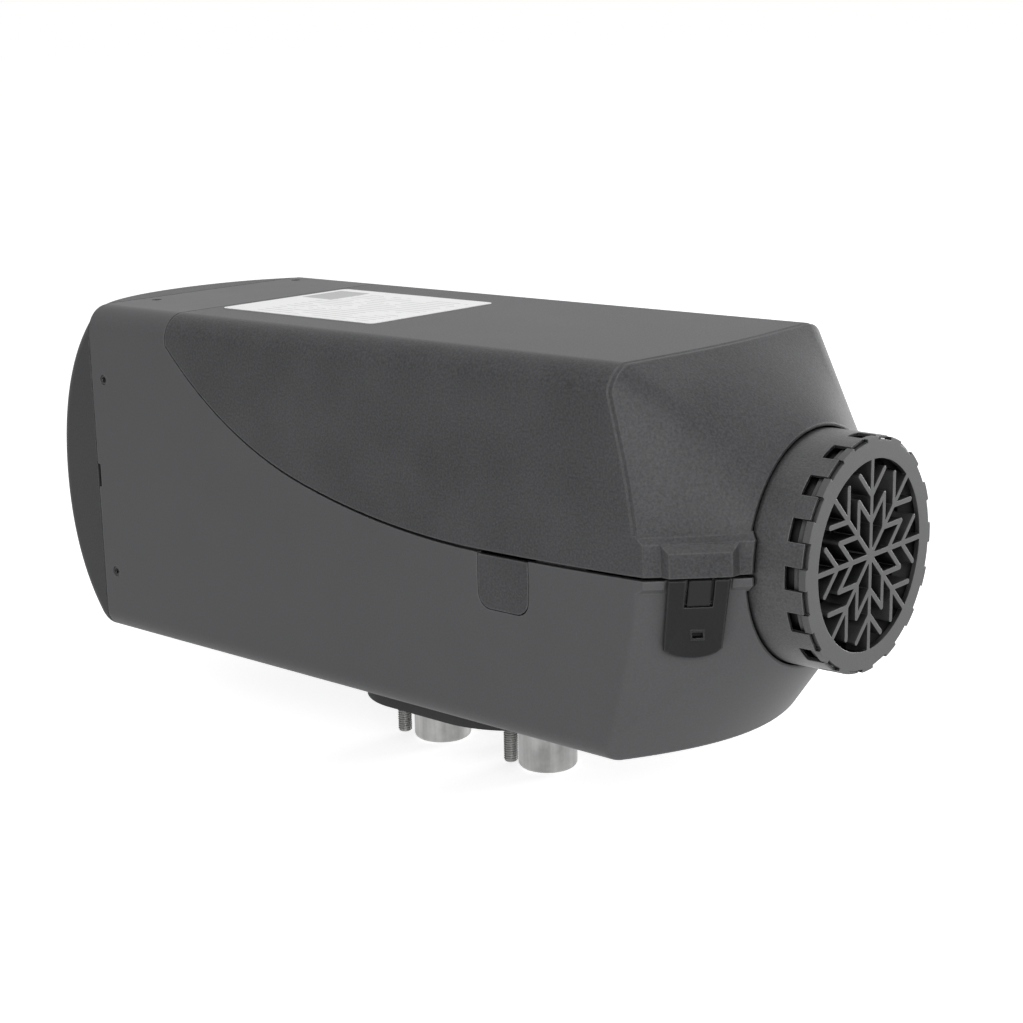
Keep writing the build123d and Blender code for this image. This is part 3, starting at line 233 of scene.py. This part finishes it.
cast_skin, given, result = skin_group("cast_skin", [
    ("Pits", "Float", 900.0), ("Clouds", "Float", 70.0), ("Streaks", "Float", 160.0),
    ("Tone Change", "Float", 0.3), ("Gloss Change", "Float", 0.2)])
pit_share = 0.6
streak_stretch = (1.0, 1.0, 0.06)
place = own_place(cast_skin)
cells = add(cast_skin, "ShaderNodeTexVoronoi", {"Vector": place, "Scale": given["Pits"]})
pits = maths(cast_skin, "MULTIPLY", cells.outputs["Distance"], pit_share)
clouds = about_zero(cast_skin, place, given["Clouds"], detail=5.0, rough=0.6)
flow = add(cast_skin, "ShaderNodeMapping", {"Vector": place, "Scale": streak_stretch}).outputs[0]
streaks = about_zero(cast_skin, flow, given["Streaks"], detail=3.0, rough=0.5)
uneven = maths(cast_skin, "ADD", clouds, streaks)
feed(cast_skin, result["Height"], maths(cast_skin, "ADD", pits, clouds))
feed(cast_skin, result["Tone"], about_one(cast_skin, uneven, given["Tone Change"]))
feed(cast_skin, result["Gloss"], maths(cast_skin, "MULTIPLY", uneven, given["Gloss Change"]))

# Rubbed and lit edges: this finds where the surface turns sharply. It gives a broken mask for
# paler edges, partly rubbing from handling and partly painted highlight along creases, and a
# normal that rounds the edge.
edge_wear_and_highlight = bpy.data.node_groups.new("edge_wear_and_highlight", "ShaderNodeTree")
socket(edge_wear_and_highlight, "Radius", "Float", value=0.0006)
socket(edge_wear_and_highlight, "Breakup", "Float", value=400.0)
socket(edge_wear_and_highlight, "Mask", "Float", "OUTPUT")
socket(edge_wear_and_highlight, "Rounded Normal", "Vector", "OUTPUT")
given = edge_wear_and_highlight.nodes.new("NodeGroupInput").outputs
result = edge_wear_and_highlight.nodes.new("NodeGroupOutput").inputs
wear_and_highlight_gain = 7.0
rounded = add(edge_wear_and_highlight, "ShaderNodeBevel", {"Radius": given["Radius"]}, samples=6).outputs[0]
facing = add(edge_wear_and_highlight, "ShaderNodeNewGeometry").outputs["Normal"]
compared = add(edge_wear_and_highlight, "ShaderNodeVectorMath", {0: rounded, 1: facing}, operation="DOT_PRODUCT")
bend = maths(edge_wear_and_highlight, "SUBTRACT", 1.0, compared.outputs["Value"])
turned = maths(edge_wear_and_highlight, "MULTIPLY", bend, wear_and_highlight_gain, clamp=True)
broken = noise(edge_wear_and_highlight, own_place(edge_wear_and_highlight), given["Breakup"], detail=3.0, rough=0.6)
feed(edge_wear_and_highlight, result["Mask"], maths(edge_wear_and_highlight, "MULTIPLY", turned, broken, clamp=True))
feed(edge_wear_and_highlight, result["Rounded Normal"], rounded)


def finish_of(name, skin, color, roughness, wear_and_highlight_color, relief, radius=0.0006, metallic=0.0, sheen=0.5,
              **sizes):
    """A material of one colour and roughness, with its own skin pattern and paler edges, partly
    rubbed and partly painted highlight.

    wear_and_highlight_color is the colour of the paler edges, partly rubbing and partly painted
    highlight; relief the depth of the pattern and radius the width of the edges. The sizes set the
    skin group's other inputs.
    """
    material = bpy.data.materials.new(name)
    material.use_nodes = True
    tree = material.node_tree
    shader = tree.nodes["Principled BSDF"]
    shader.inputs["Metallic"].default_value = metallic
    shader.inputs["Specular IOR Level"].default_value = sheen
    pattern = add(tree, "ShaderNodeGroup", node_tree=skin)
    for label, value in sizes.items():
        pattern.inputs[label.replace("_", " ").title()].default_value = value
    wear_and_highlight_node = add(tree, "ShaderNodeGroup", node_tree=edge_wear_and_highlight)
    wear_and_highlight_node.inputs["Radius"].default_value = radius
    toned = add(tree, "ShaderNodeVectorMath", {0: color, "Scale": pattern.outputs["Tone"]},
                operation="SCALE")
    # Paler edges: partly rubbing from handling, partly painted highlight along creases.
    paint = add(tree, "ShaderNodeMix", data_type="RGBA")
    feed(tree, paint.inputs[0], wear_and_highlight_node.outputs["Mask"])
    feed(tree, paint.inputs[6], toned.outputs["Vector"])
    feed(tree, paint.inputs[7], (*wear_and_highlight_color, 1))
    feed(tree, shader.inputs["Base Color"], paint.outputs[2])
    gloss = maths(tree, "ADD", pattern.outputs["Gloss"], roughness, clamp=True)
    feed(tree, shader.inputs["Roughness"], gloss)
    bumps = add(tree, "ShaderNodeBump", {
        "Distance": relief, "Height": pattern.outputs["Height"],
        "Normal": wear_and_highlight_node.outputs["Rounded Normal"]})
    feed(tree, shader.inputs["Normal"], bumps.outputs["Normal"])
    return material


def dress(names, material):
    """Give CAD pieces one material."""
    for name in names:
        mesh = nodes[name].data
        mesh.materials.clear()
        mesh.materials.append(material)


raw_casting = finish_of(
    "raw_cast_aluminium", cast_skin, color=(0.50, 0.50, 0.49), roughness=0.46,
    wear_and_highlight_color=(0.74, 0.74, 0.73), relief=0.00012, metallic=1.0)
dress(["heat_exchanger", "blower_housing", "impeller_cover"], raw_casting)


# ---------------------------------------------------------------------------
# Burner tube, evaporator mesh, fuel pipe and sensor clip: drawn stainless
# steel. Fine lines run round the tubes, and the burner has taken a straw
# tint from its first firing on the test bench.
# ---------------------------------------------------------------------------
drawn_skin, given, result = skin_group("drawn_skin", [
    ("Lines", "Float", 500.0), ("Stretch", "Vector", (1.0, 1.0, 1.0)),
    ("Tone Change", "Float", 0.15), ("Gloss Change", "Float", 0.12)])
stain_scale = 45.0
place = own_place(drawn_skin)
pulled = vector_math(drawn_skin, "MULTIPLY", place, given["Stretch"])
lines = about_zero(drawn_skin, pulled, given["Lines"], detail=2.0, rough=0.5)
stains = about_zero(drawn_skin, place, stain_scale, detail=4.0, rough=0.6)
uneven = maths(drawn_skin, "ADD", lines, stains)
feed(drawn_skin, result["Height"], lines)
feed(drawn_skin, result["Tone"], about_one(drawn_skin, uneven, given["Tone Change"]))
feed(drawn_skin, result["Gloss"], maths(drawn_skin, "MULTIPLY", uneven, given["Gloss Change"]))

fired_steel = finish_of(
    "straw_stainless", drawn_skin, color=(0.52, 0.44, 0.33), roughness=0.33,
    wear_and_highlight_color=(0.66, 0.60, 0.50), relief=0.00001, metallic=1.0, stretch=(1.0, 0.04, 0.04))
dress(["burner_tube", "evaporator_mesh"], fired_steel)
drawn_steel = finish_of(
    "drawn_stainless", drawn_skin, color=(0.52, 0.50, 0.48), roughness=0.28,
    wear_and_highlight_color=(0.72, 0.71, 0.70), relief=0.00001, metallic=1.0, stretch=(1.0, 1.0, 0.05))
dress(["fuel_pipe", "sensor_clip"], drawn_steel)


# ---------------------------------------------------------------------------
# Burner gasket, glow plug and sensor: a pressed fibre ring, a zinc-plated
# steel plug under a silicone boot, and a brass-cased overheat sensor. The
# ring is clamped, the plug is screwed in and the sensor is clipped down.
# ---------------------------------------------------------------------------
moulded_grain, given, result = skin_group("moulded_grain", [
    ("Grain", "Float", 2400.0), ("Mottle", "Float", 50.0),
    ("Tone Change", "Float", 0.15), ("Gloss Change", "Float", 0.1),
    ("Hollow Reach", "Float", 0.004), ("Hollow Shade", "Float", 0.0)])
place = own_place(moulded_grain)
fine = noise(moulded_grain, place, given["Grain"], detail=2.0, rough=0.6)
speck = maths(moulded_grain, "SUBTRACT", fine, 0.5)
slow = about_zero(moulded_grain, place, given["Mottle"], detail=4.0, rough=0.5)
uneven = maths(moulded_grain, "ADD", maths(moulded_grain, "MULTIPLY", slow, 0.5), speck)
# Painted shade: the tone is darkened where other surfaces are close by, in corners, gaps and
# recesses, by Hollow Shade over Hollow Reach.
around = add(moulded_grain, "ShaderNodeAmbientOcclusion", {"Distance": given["Hollow Reach"]},
             samples=4)
closed = maths(moulded_grain, "SUBTRACT", 1.0, around.outputs["AO"])
shade = maths(moulded_grain, "MULTIPLY", closed, given["Hollow Shade"])
lit = maths(moulded_grain, "SUBTRACT", 1.0, shade, clamp=True)
toned = about_one(moulded_grain, uneven, given["Tone Change"])
feed(moulded_grain, result["Height"], fine)
feed(moulded_grain, result["Tone"], maths(moulded_grain, "MULTIPLY", toned, lit))
feed(moulded_grain, result["Gloss"], maths(moulded_grain, "MULTIPLY", slow, given["Gloss Change"]))

pressed_fibre = finish_of(
    "pressed_fibre", moulded_grain, color=(0.16, 0.15, 0.14), roughness=0.85,
    wear_and_highlight_color=(0.24, 0.23, 0.21), relief=0.00006, grain=1400.0, mottle=300.0, tone_change=0.5)
dress(["burner_gasket"], pressed_fibre)
zinc_plate = finish_of(
    "zinc_plate", drawn_skin, color=(0.60, 0.60, 0.57), roughness=0.32,
    wear_and_highlight_color=(0.80, 0.80, 0.78), relief=0.00001, metallic=1.0, lines=700.0, tone_change=0.25)
dress(["glow_plug"], zinc_plate)
brass = finish_of(
    "plain_brass", drawn_skin, color=(0.55, 0.38, 0.14), roughness=0.35,
    wear_and_highlight_color=(0.75, 0.60, 0.30), relief=0.00001, metallic=1.0)
dress(["overheat_sensor"], brass)
silicone = finish_of(
    "black_silicone", moulded_grain, color=(0.020, 0.020, 0.021), roughness=0.60,
    wear_and_highlight_color=(0.05, 0.05, 0.05), relief=0.00003, grain=1500.0)
dress(["glow_plug_boot"], silicone)


# ---------------------------------------------------------------------------
# Motor: a drawn steel can and cap with ferrite shells, ball bearings, a
# ground shaft and a varnished copper armature. Three zinc-plated screws hold
# its flange, and four long black ones clamp the blower to the exchanger.
# ---------------------------------------------------------------------------
can_steel = finish_of(
    "motor_steel", drawn_skin, color=(0.42, 0.42, 0.42), roughness=0.34,
    wear_and_highlight_color=(0.70, 0.70, 0.70), relief=0.00001, metallic=1.0, stretch=(1.0, 0.05, 0.05))
dress(["motor_can", "motor_end_cap", "motor_bearings", "motor_shaft"], can_steel)
ferrite = finish_of(
    "ferrite", moulded_grain, color=(0.06, 0.06, 0.062), roughness=0.55,
    wear_and_highlight_color=(0.11, 0.11, 0.11), relief=0.00003, grain=1600.0)
dress(["motor_magnets"], ferrite)
windings = finish_of(
    "varnished_copper", drawn_skin, color=(0.45, 0.19, 0.08), roughness=0.28,
    wear_and_highlight_color=(0.60, 0.30, 0.14), relief=0.00004, metallic=0.9, lines=1200.0,
    stretch=(0.05, 1.0, 1.0), tone_change=0.5)
dress(["motor_armature"], windings)
dress(["motor_screws", "fan_nut"], zinc_plate)
black_steel = finish_of(
    "black_oxide_steel", drawn_skin, color=(0.045, 0.045, 0.047), roughness=0.40,
    wear_and_highlight_color=(0.30, 0.30, 0.30), relief=0.00001, metallic=0.6, tone_change=0.3)
dress(["housing_screws"], black_steel)


# ---------------------------------------------------------------------------
# Fans and control unit: black glass-filled nylon for the two impellers, the
# unit's case, lid and plug socket, and a green laminate board. The lid is
# held by four small zinc-plated screws.
# ---------------------------------------------------------------------------
black_nylon = finish_of(
    "black_nylon", moulded_grain, color=(0.022, 0.022, 0.023), roughness=0.42,
    wear_and_highlight_color=(0.06, 0.06, 0.06), relief=0.00002, grain=3000.0)
dress(["heating_fan", "combustion_impeller", "ecu_case", "ecu_lid", "ecu_connector"], black_nylon)
laminate = finish_of(
    "green_laminate", moulded_grain, color=(0.015, 0.10, 0.045), roughness=0.35,
    wear_and_highlight_color=(0.05, 0.16, 0.09), relief=0.00001, grain=900.0, mottle=260.0, tone_change=0.5)
dress(["circuit_board"], laminate)
dress(["ecu_screws"], zinc_plate)


# ---------------------------------------------------------------------------
# Lower shell and outlet hood: mouldings in dark grey glass-filled plastic.
# The spark-eroded mould leaves a fine even grain, and the edges of the nose
# and of the parting line are a little paler, partly rubbed and partly painted highlight.
# ---------------------------------------------------------------------------
shell_plastic = finish_of(
    "shell_grey_plastic", moulded_grain, color=(0.082, 0.082, 0.0855), roughness=0.48,
    wear_and_highlight_color=(0.16, 0.16, 0.165), relief=0.00004, radius=0.0012, sheen=0.20, grain=1300.0,
    mottle=30.0, tone_change=0.35, gloss_change=0.10, hollow_reach=0.006, hollow_shade=0.7)
dress(["lower_shell"], shell_plastic)
# The hood's darker base colour is painted shade: its faces turn away from the light, and the
# colour is darkened for it.
shaded_hood_plastic = finish_of(
    "hood_grey_plastic_painted_shade", moulded_grain, color=(0.036, 0.036, 0.0380), roughness=0.48,
    wear_and_highlight_color=(0.14, 0.14, 0.145), relief=0.00006, radius=0.0012, sheen=0.22, grain=1200.0,
    mottle=30.0, tone_change=0.8, gloss_change=0.10)
dress(["outlet_hood"], shaded_hood_plastic)


# ---------------------------------------------------------------------------
# Hood screws: eight small black steel screws with a low round head and a
# six-lobed recess, driven through the shell into the hood's spigot. They sit
# just below the casing's skin.
# ---------------------------------------------------------------------------
def start_tree(name, sizes):
    """A geometry tree with named sizes that stands one part on every seat."""
    tree = bpy.data.node_groups.new(name, "GeometryNodeTree")
    socket(tree, "Seats", "Geometry")
    for label, value in sizes.items():
        socket(tree, label, "Float", value=value)
    socket(tree, "Finish", "Material")
    socket(tree, "Parts", "Geometry", "OUTPUT")
    return tree, tree.nodes.new("NodeGroupInput").outputs


def stand_on_seats(tree, given, part):
    """Copy the part to every seat, turned to face outwards, and give it its finish."""
    outward = add(tree, "GeometryNodeInputNamedAttribute", {"Name": "outward"},
                  data_type="FLOAT_VECTOR").outputs["Attribute"]
    turn = add(tree, "FunctionNodeAlignRotationToVector", {"Vector": outward}, axis="Z")
    copies = add(tree, "GeometryNodeInstanceOnPoints", {
        "Points": given["Seats"], "Instance": part, "Rotation": turn.outputs["Rotation"]})
    real = add(tree, "GeometryNodeRealizeInstances", {"Geometry": copies.outputs["Instances"]})
    painted = add(tree, "GeometryNodeSetMaterial", {
        "Geometry": real.outputs[0], "Material": given["Finish"]})
    feed(tree, tree.nodes.new("NodeGroupOutput").inputs["Parts"], painted.outputs[0])


def seated(name, tree, seats, material, smooth, sizes):
    """Run a tree on seats, pairs of place and outward direction, and keep a plain mesh."""
    points = bpy.data.meshes.new(name + "_seats")
    points.from_pydata([place for place, outward in seats], [], [])
    directions = points.attributes.new("outward", "FLOAT_VECTOR", "POINT")
    for entry, (place, outward) in zip(directions.data, seats):
        entry.vector = outward
    piece = bpy.data.objects.new(name, points)
    bpy.context.scene.collection.objects.link(piece)
    modifier = piece.modifiers.new("parts", "NODES")
    modifier.node_group = tree
    chosen = {**sizes, "Finish": material}
    for item in tree.interface.items_tree:
        if item.in_out == "INPUT" and item.name in chosen:
            modifier[item.identifier] = chosen[item.name]
    graph = bpy.context.evaluated_depsgraph_get()
    mesh = bpy.data.meshes.new_from_object(piece.evaluated_get(graph), depsgraph=graph)
    piece.modifiers.clear()
    piece.data = mesh
    mesh.name = name
    mesh.shade_smooth()
    mesh.set_sharp_from_angle(angle=radians(smooth))
    return piece


def drum(tree, radius, height, low, sides=40, rows=1):
    """A closed round bar on Z, from low upwards."""
    bar = add(tree, "GeometryNodeMeshCylinder", {
        "Vertices": sides, "Side Segments": rows, "Radius": radius, "Depth": height})
    middle_z = maths(tree, "ADD", maths(tree, "MULTIPLY", height, 0.5), low)
    middle = add(tree, "ShaderNodeCombineXYZ", {"Z": middle_z}).outputs[0]
    moved = add(tree, "GeometryNodeTransform", {
        "Geometry": bar.outputs["Mesh"], "Translation": middle})
    return moved.outputs[0]


def minus(tree, value):
    return maths(tree, "MULTIPLY", value, -1.0)


def bearing(tree):
    """Each point's place, its height, and its angle about Z."""
    place = add(tree, "GeometryNodeInputPosition").outputs[0]
    parts = add(tree, "ShaderNodeSeparateXYZ", {0: place}).outputs
    return place, parts["Z"], maths(tree, "ARCTAN2", parts["Y"], parts["X"])


def swollen(tree, geometry, place, factor):
    """Move each point of a geometry straight out from Z by a factor."""
    sideways = add(tree, "ShaderNodeCombineXYZ", {"X": factor, "Y": factor, "Z": 1.0}).outputs[0]
    target = vector_math(tree, "MULTIPLY", place, sideways)
    moved = add(tree, "GeometryNodeSetPosition", {"Geometry": geometry, "Position": target})
    return moved.outputs[0]


screw_tree, given = start_tree("six_lobe_screw", {
    "Head Radius": 0.002, "Head Height": 0.0013, "Shank Radius": 0.0013, "Shank Length": 0.0054,
    "Recess Radius": 0.0011, "Recess Depth": 0.0007})
cutter_height = 0.002
lobe_middle = 0.86
lobe_swing = 0.16
head = drum(screw_tree, given["Head Radius"], given["Head Height"],
            minus(screw_tree, given["Head Height"]))
shank = drum(screw_tree, given["Shank Radius"], given["Shank Length"],
             minus(screw_tree, given["Shank Length"]), sides=16)
body = add(screw_tree, "GeometryNodeMeshBoolean", operation="UNION")
screw_tree.links.new(head, body.inputs["Mesh 2"])
screw_tree.links.new(shank, body.inputs["Mesh 2"])
peg = drum(screw_tree, given["Recess Radius"], cutter_height,
           minus(screw_tree, given["Recess Depth"]), sides=48)
place, height, angle = bearing(screw_tree)
lobes = maths(screw_tree, "COSINE", maths(screw_tree, "MULTIPLY", angle, 6.0))
swell = maths(screw_tree, "ADD", maths(screw_tree, "MULTIPLY", lobes, lobe_swing), lobe_middle)
cutter = swollen(screw_tree, peg, place, swell)
screw = add(screw_tree, "GeometryNodeMeshBoolean", {
    "Mesh 1": body.outputs["Mesh"], "Mesh 2": cutter}, operation="DIFFERENCE")
stand_on_seats(screw_tree, given, screw.outputs["Mesh"])

screw_low, screw_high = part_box("hood_screws")
screw_row_x = (screw_low.x + screw_high.x) / 2
side_pair_z = 0.084
side_pair_reach = 0.0445
flat_pair_y = 0.0066
flat_pair_reach = 0.0435
hood_seats = []
for sign, face_y, face_z in ((-1, screw_low.y, screw_low.z), (1, screw_high.y, screw_high.z)):
    for end in (-1, 1):
        side_place = (screw_row_x, face_y, side_pair_z + end * side_pair_reach)
        flat_place = (screw_row_x, flat_pair_y + end * flat_pair_reach, face_z)
        hood_seats += [(side_place, (0, sign, 0)), (flat_place, (0, 0, sign))]
hood_screw_set = seated("hood_screw_set", screw_tree, hood_seats, black_steel, 35, {
    "Head Radius": (screw_high.x - screw_low.x) / 2})
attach(hood_screw_set, "heater")
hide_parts("hood_screws")


# ---------------------------------------------------------------------------
# Inlet collar and grille: moulded in a closer-grained, slightly glossier grey.
# The collar is clamped between shell and cover, and the grille clips into its
# notches; its deep blades keep out fingers and leaves.
# ---------------------------------------------------------------------------
inlet_plastic = finish_of(
    "inlet_grey_plastic", moulded_grain, color=(0.046, 0.046, 0.0485), roughness=0.35,
    wear_and_highlight_color=(0.20, 0.20, 0.205), relief=0.00012, radius=0.0005, sheen=0.45, grain=1200.0,
    mottle=60.0, tone_change=1.8, gloss_change=0.15, hollow_reach=0.006, hollow_shade=1.3)
dress(["inlet_collar"], inlet_plastic)
grille_plastic = finish_of(
    "grille_grey_plastic", moulded_grain, color=(0.072, 0.072, 0.074), roughness=0.42,
    wear_and_highlight_color=(0.20, 0.20, 0.204), relief=0.00003, radius=0.0004, sheen=0.30, grain=1300.0,
    mottle=60.0, tone_change=0.4, hollow_reach=0.010, hollow_shade=1.6)
dress(["inlet_grille"], grille_plastic)


# ---------------------------------------------------------------------------
# Cover, latch tongues and cable plugs: the same grey plastic as the shell,
# from another mould with a duller grain. The cover hooks in at the rear and
# its two tongues snap over the nose; the plugs fill unused cable slots.
# The catches that show in the tongues' windows are painted near black, as painted shade inside the
# windows.
# ---------------------------------------------------------------------------
cover_plastic = finish_of(
    "cover_grey_plastic", moulded_grain, color=(0.058, 0.058, 0.0608), roughness=0.46,
    wear_and_highlight_color=(0.17, 0.17, 0.174), relief=0.00008, radius=0.0012, sheen=0.16, grain=1100.0,
    mottle=30.0, tone_change=1.3, gloss_change=0.10, hollow_reach=0.006, hollow_shade=1.2)
cover_tree = cover_plastic.node_tree
cover_shader = cover_tree.nodes["Principled BSDF"]
# Painted shade: the catches below catch_top_z and ahead of catch_rear_x get a near-black colour
# that stands for the shade inside the tongues' windows.
catch_top_z = 0.0862
catch_rear_x = 0.12
catch_shade_color = (0.018, 0.018, 0.019, 1)
spot = add(cover_tree, "ShaderNodeSeparateXYZ", {0: own_place(cover_tree)}).outputs
below = maths(cover_tree, "LESS_THAN", spot["Z"], catch_top_z)
ahead = maths(cover_tree, "GREATER_THAN", spot["X"], catch_rear_x)
catch_shade_mask = maths(cover_tree, "MULTIPLY", below, ahead)
catch_shade_paint = add(cover_tree, "ShaderNodeMix", data_type="RGBA")
feed(cover_tree, catch_shade_paint.inputs[0], catch_shade_mask)
feed(cover_tree, catch_shade_paint.inputs[6], cover_shader.inputs["Base Color"].links[0].from_socket)
feed(cover_tree, catch_shade_paint.inputs[7], catch_shade_color)
feed(cover_tree, cover_shader.inputs["Base Color"], catch_shade_paint.outputs[2])
dress(["upper_cover", "cable_plug_near", "cable_plug_far"], cover_plastic)
# The latch tongues' near-black base colour is painted shade: they are the same grey plastic,
# darkened for the shadow they stand in.
shaded_latch_plastic = finish_of(
    "latch_grey_plastic_painted_shade", moulded_grain, color=(0.014, 0.014, 0.015), roughness=0.38,
    wear_and_highlight_color=(0.10, 0.10, 0.103), relief=0.00003, radius=0.0008, sheen=0.15, grain=1300.0,
    mottle=30.0, tone_change=0.6, gloss_change=0.10, hollow_reach=0.004, hollow_shade=1.0)
dress(["latch_near", "latch_far"], shaded_latch_plastic)


# ---------------------------------------------------------------------------
# Rating label: a white film sticker with rounded corners on the cover. Its
# print is generic: pale ruled lines and a flat grey field near the rear far
# corner.
# ---------------------------------------------------------------------------
def stripe(tree, value, middle, half_width, softness=0.00008):
    """1 within half_width of middle, falling to 0 outside."""
    away = maths(tree, "ABSOLUTE", maths(tree, "SUBTRACT", value, middle))
    fade = add(tree, "ShaderNodeMapRange", {
        "Value": away, "From Min": half_width, "From Max": half_width + softness,
        "To Min": 1.0, "To Max": 0.0})
    return fade.outputs["Result"]


def panel(tree, spot, middle_x, middle_y, half_length, half_width):
    """1 within a rectangle seen from above, 0 outside."""
    return maths(tree, "MULTIPLY", stripe(tree, spot["X"], middle_x, half_length),
                 stripe(tree, spot["Y"], middle_y, half_width))


label_film = finish_of(
    "white_label_film", moulded_grain, color=(0.94, 0.94, 0.94), roughness=0.38,
    wear_and_highlight_color=(0.62, 0.62, 0.62), relief=0.000006, radius=0.0002, grain=1800.0, mottle=40.0,
    tone_change=0.03, gloss_change=0.05)
film = label_film.node_tree
film_shader = film.nodes["Principled BSDF"]
spot = add(film, "ShaderNodeSeparateXYZ", {0: own_place(film)}).outputs
label_low, label_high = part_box("rating_label")
label_middle = (label_low + label_high) / 2
half_pitch = 0.0022
line_half_width = 0.00038
gap_scale = 90.0
gap_level = 0.42
column_shift_x = 0.006
column_shift_y = -0.002
column_reach = (0.034, 0.032)
field_inset_x = 0.013
field_inset_y = 0.019
field_reach = (0.0095, 0.0125)
line_strength = 0.60
field_strength = 0.72
ink_color = (0.22, 0.22, 0.23, 1)
across = maths(film, "PINGPONG", spot["Y"], half_pitch)
patches = noise(film, own_place(film), gap_scale, detail=2.0, rough=0.5)
gaps = maths(film, "GREATER_THAN", patches, gap_level)
ruled = maths(film, "MULTIPLY", stripe(film, across, 0.0, line_half_width), gaps)
column = panel(film, spot, label_middle.x + column_shift_x, label_middle.y + column_shift_y,
               *column_reach)
lines = maths(film, "MULTIPLY", maths(film, "MULTIPLY", ruled, column), line_strength)
field = panel(film, spot, label_low.x + field_inset_x, label_high.y - field_inset_y,
              *field_reach)
printed = maths(film, "MAXIMUM", lines, maths(film, "MULTIPLY", field, field_strength))
inked = add(film, "ShaderNodeMix", data_type="RGBA")
feed(film, inked.inputs[0], printed)
feed(film, inked.inputs[6], film_shader.inputs["Base Color"].links[0].from_socket)
feed(film, inked.inputs[7], ink_color)
feed(film, film_shader.inputs["Base Color"], inked.outputs[2])
dress(["rating_label"], label_film)


# ---------------------------------------------------------------------------
# Foot gasket: one black rubber moulding that seals the casing to the floor
# plate. It is pushed over the studs and stubs, and is dull and a bit dusty.
# ---------------------------------------------------------------------------
foot_rubber = finish_of(
    "black_rubber", moulded_grain, color=(0.030, 0.030, 0.031), roughness=0.78,
    wear_and_highlight_color=(0.05, 0.05, 0.05), relief=0.00006, grain=1300.0, mottle=70.0, tone_change=0.6)
dress(["base_gasket"], foot_rubber)


# ---------------------------------------------------------------------------
# Exhaust and intake stubs: cast with the exchanger's foot and skimmed on the
# outside, so they are brighter than its raw skin, with long pale streaks.
# ---------------------------------------------------------------------------
stub_casting = finish_of(
    "skimmed_cast_aluminium", cast_skin, color=(0.36, 0.36, 0.355), roughness=0.34,
    wear_and_highlight_color=(0.66, 0.66, 0.65), relief=0.00005, metallic=1.0, tone_change=1.1, streaks=220.0,
    pits=1400.0)
dress(["exhaust_stub", "intake_stub"], stub_casting)


# ---------------------------------------------------------------------------
# Mounting studs: four M6 studs in dull zinc-plated steel with a rolled thread,
# screwed into the exchanger's foot. The thread runs from the gasket to the tip.
# ---------------------------------------------------------------------------
stud_tree, given = start_tree("rolled_stud", {
    "Stud Radius": 0.003, "Thread Length": 0.015, "Pitch": 0.001, "Thread Depth": 0.0006,
    "Seat Radius": 0.0026, "Seat Length": 0.012})
tip_chamfer = 0.0007
bar = drum(stud_tree, given["Stud Radius"], given["Thread Length"], 0.0, sides=36, rows=135)
place, height, angle = bearing(stud_tree)
turns = maths(stud_tree, "SUBTRACT", maths(stud_tree, "DIVIDE", height, given["Pitch"]),
              maths(stud_tree, "DIVIDE", angle, 2 * pi))
flank = maths(stud_tree, "MULTIPLY", maths(stud_tree, "PINGPONG", turns, 0.5), 2.0)
groove = maths(stud_tree, "MULTIPLY", flank, given["Thread Depth"])
from_tip = maths(stud_tree, "SUBTRACT", given["Thread Length"], height)
taper = maths(stud_tree, "MAXIMUM", maths(stud_tree, "SUBTRACT", tip_chamfer, from_tip), 0.0)
cut_in = maths(stud_tree, "MAXIMUM", groove, taper)
left = maths(stud_tree, "SUBTRACT", given["Stud Radius"], cut_in)
thread = swollen(stud_tree, bar, place, maths(stud_tree, "DIVIDE", left, given["Stud Radius"]))
seat_end = drum(stud_tree, given["Seat Radius"], given["Seat Length"],
                minus(stud_tree, given["Seat Length"]))
stud = add(stud_tree, "GeometryNodeJoinGeometry")
stud_tree.links.new(thread, stud.inputs[0])
stud_tree.links.new(seat_end, stud.inputs[0])
stand_on_seats(stud_tree, given, stud.outputs[0])

stud_zinc = finish_of(
    "dull_zinc_plate", drawn_skin, color=(0.30, 0.30, 0.29), roughness=0.45,
    wear_and_highlight_color=(0.55, 0.55, 0.54), relief=0.00001, radius=0.0002, metallic=1.0, lines=700.0,
    tone_change=0.4)
stud_low, stud_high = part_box("mounting_studs")
stud_reach_x = 0.030
stud_reach_y = 0.035
stud_seats = [((end * stud_reach_x, side * stud_reach_y, 0.0), (0, 0, -1))
              for end in (-1, 1) for side in (-1, 1)]
stud_set = seated("stud_set", stud_tree, stud_seats, stud_zinc, 60, {
    "Thread Length": -stud_low.z, "Seat Length": stud_high.z})
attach(stud_set, "heater")
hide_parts("mounting_studs")
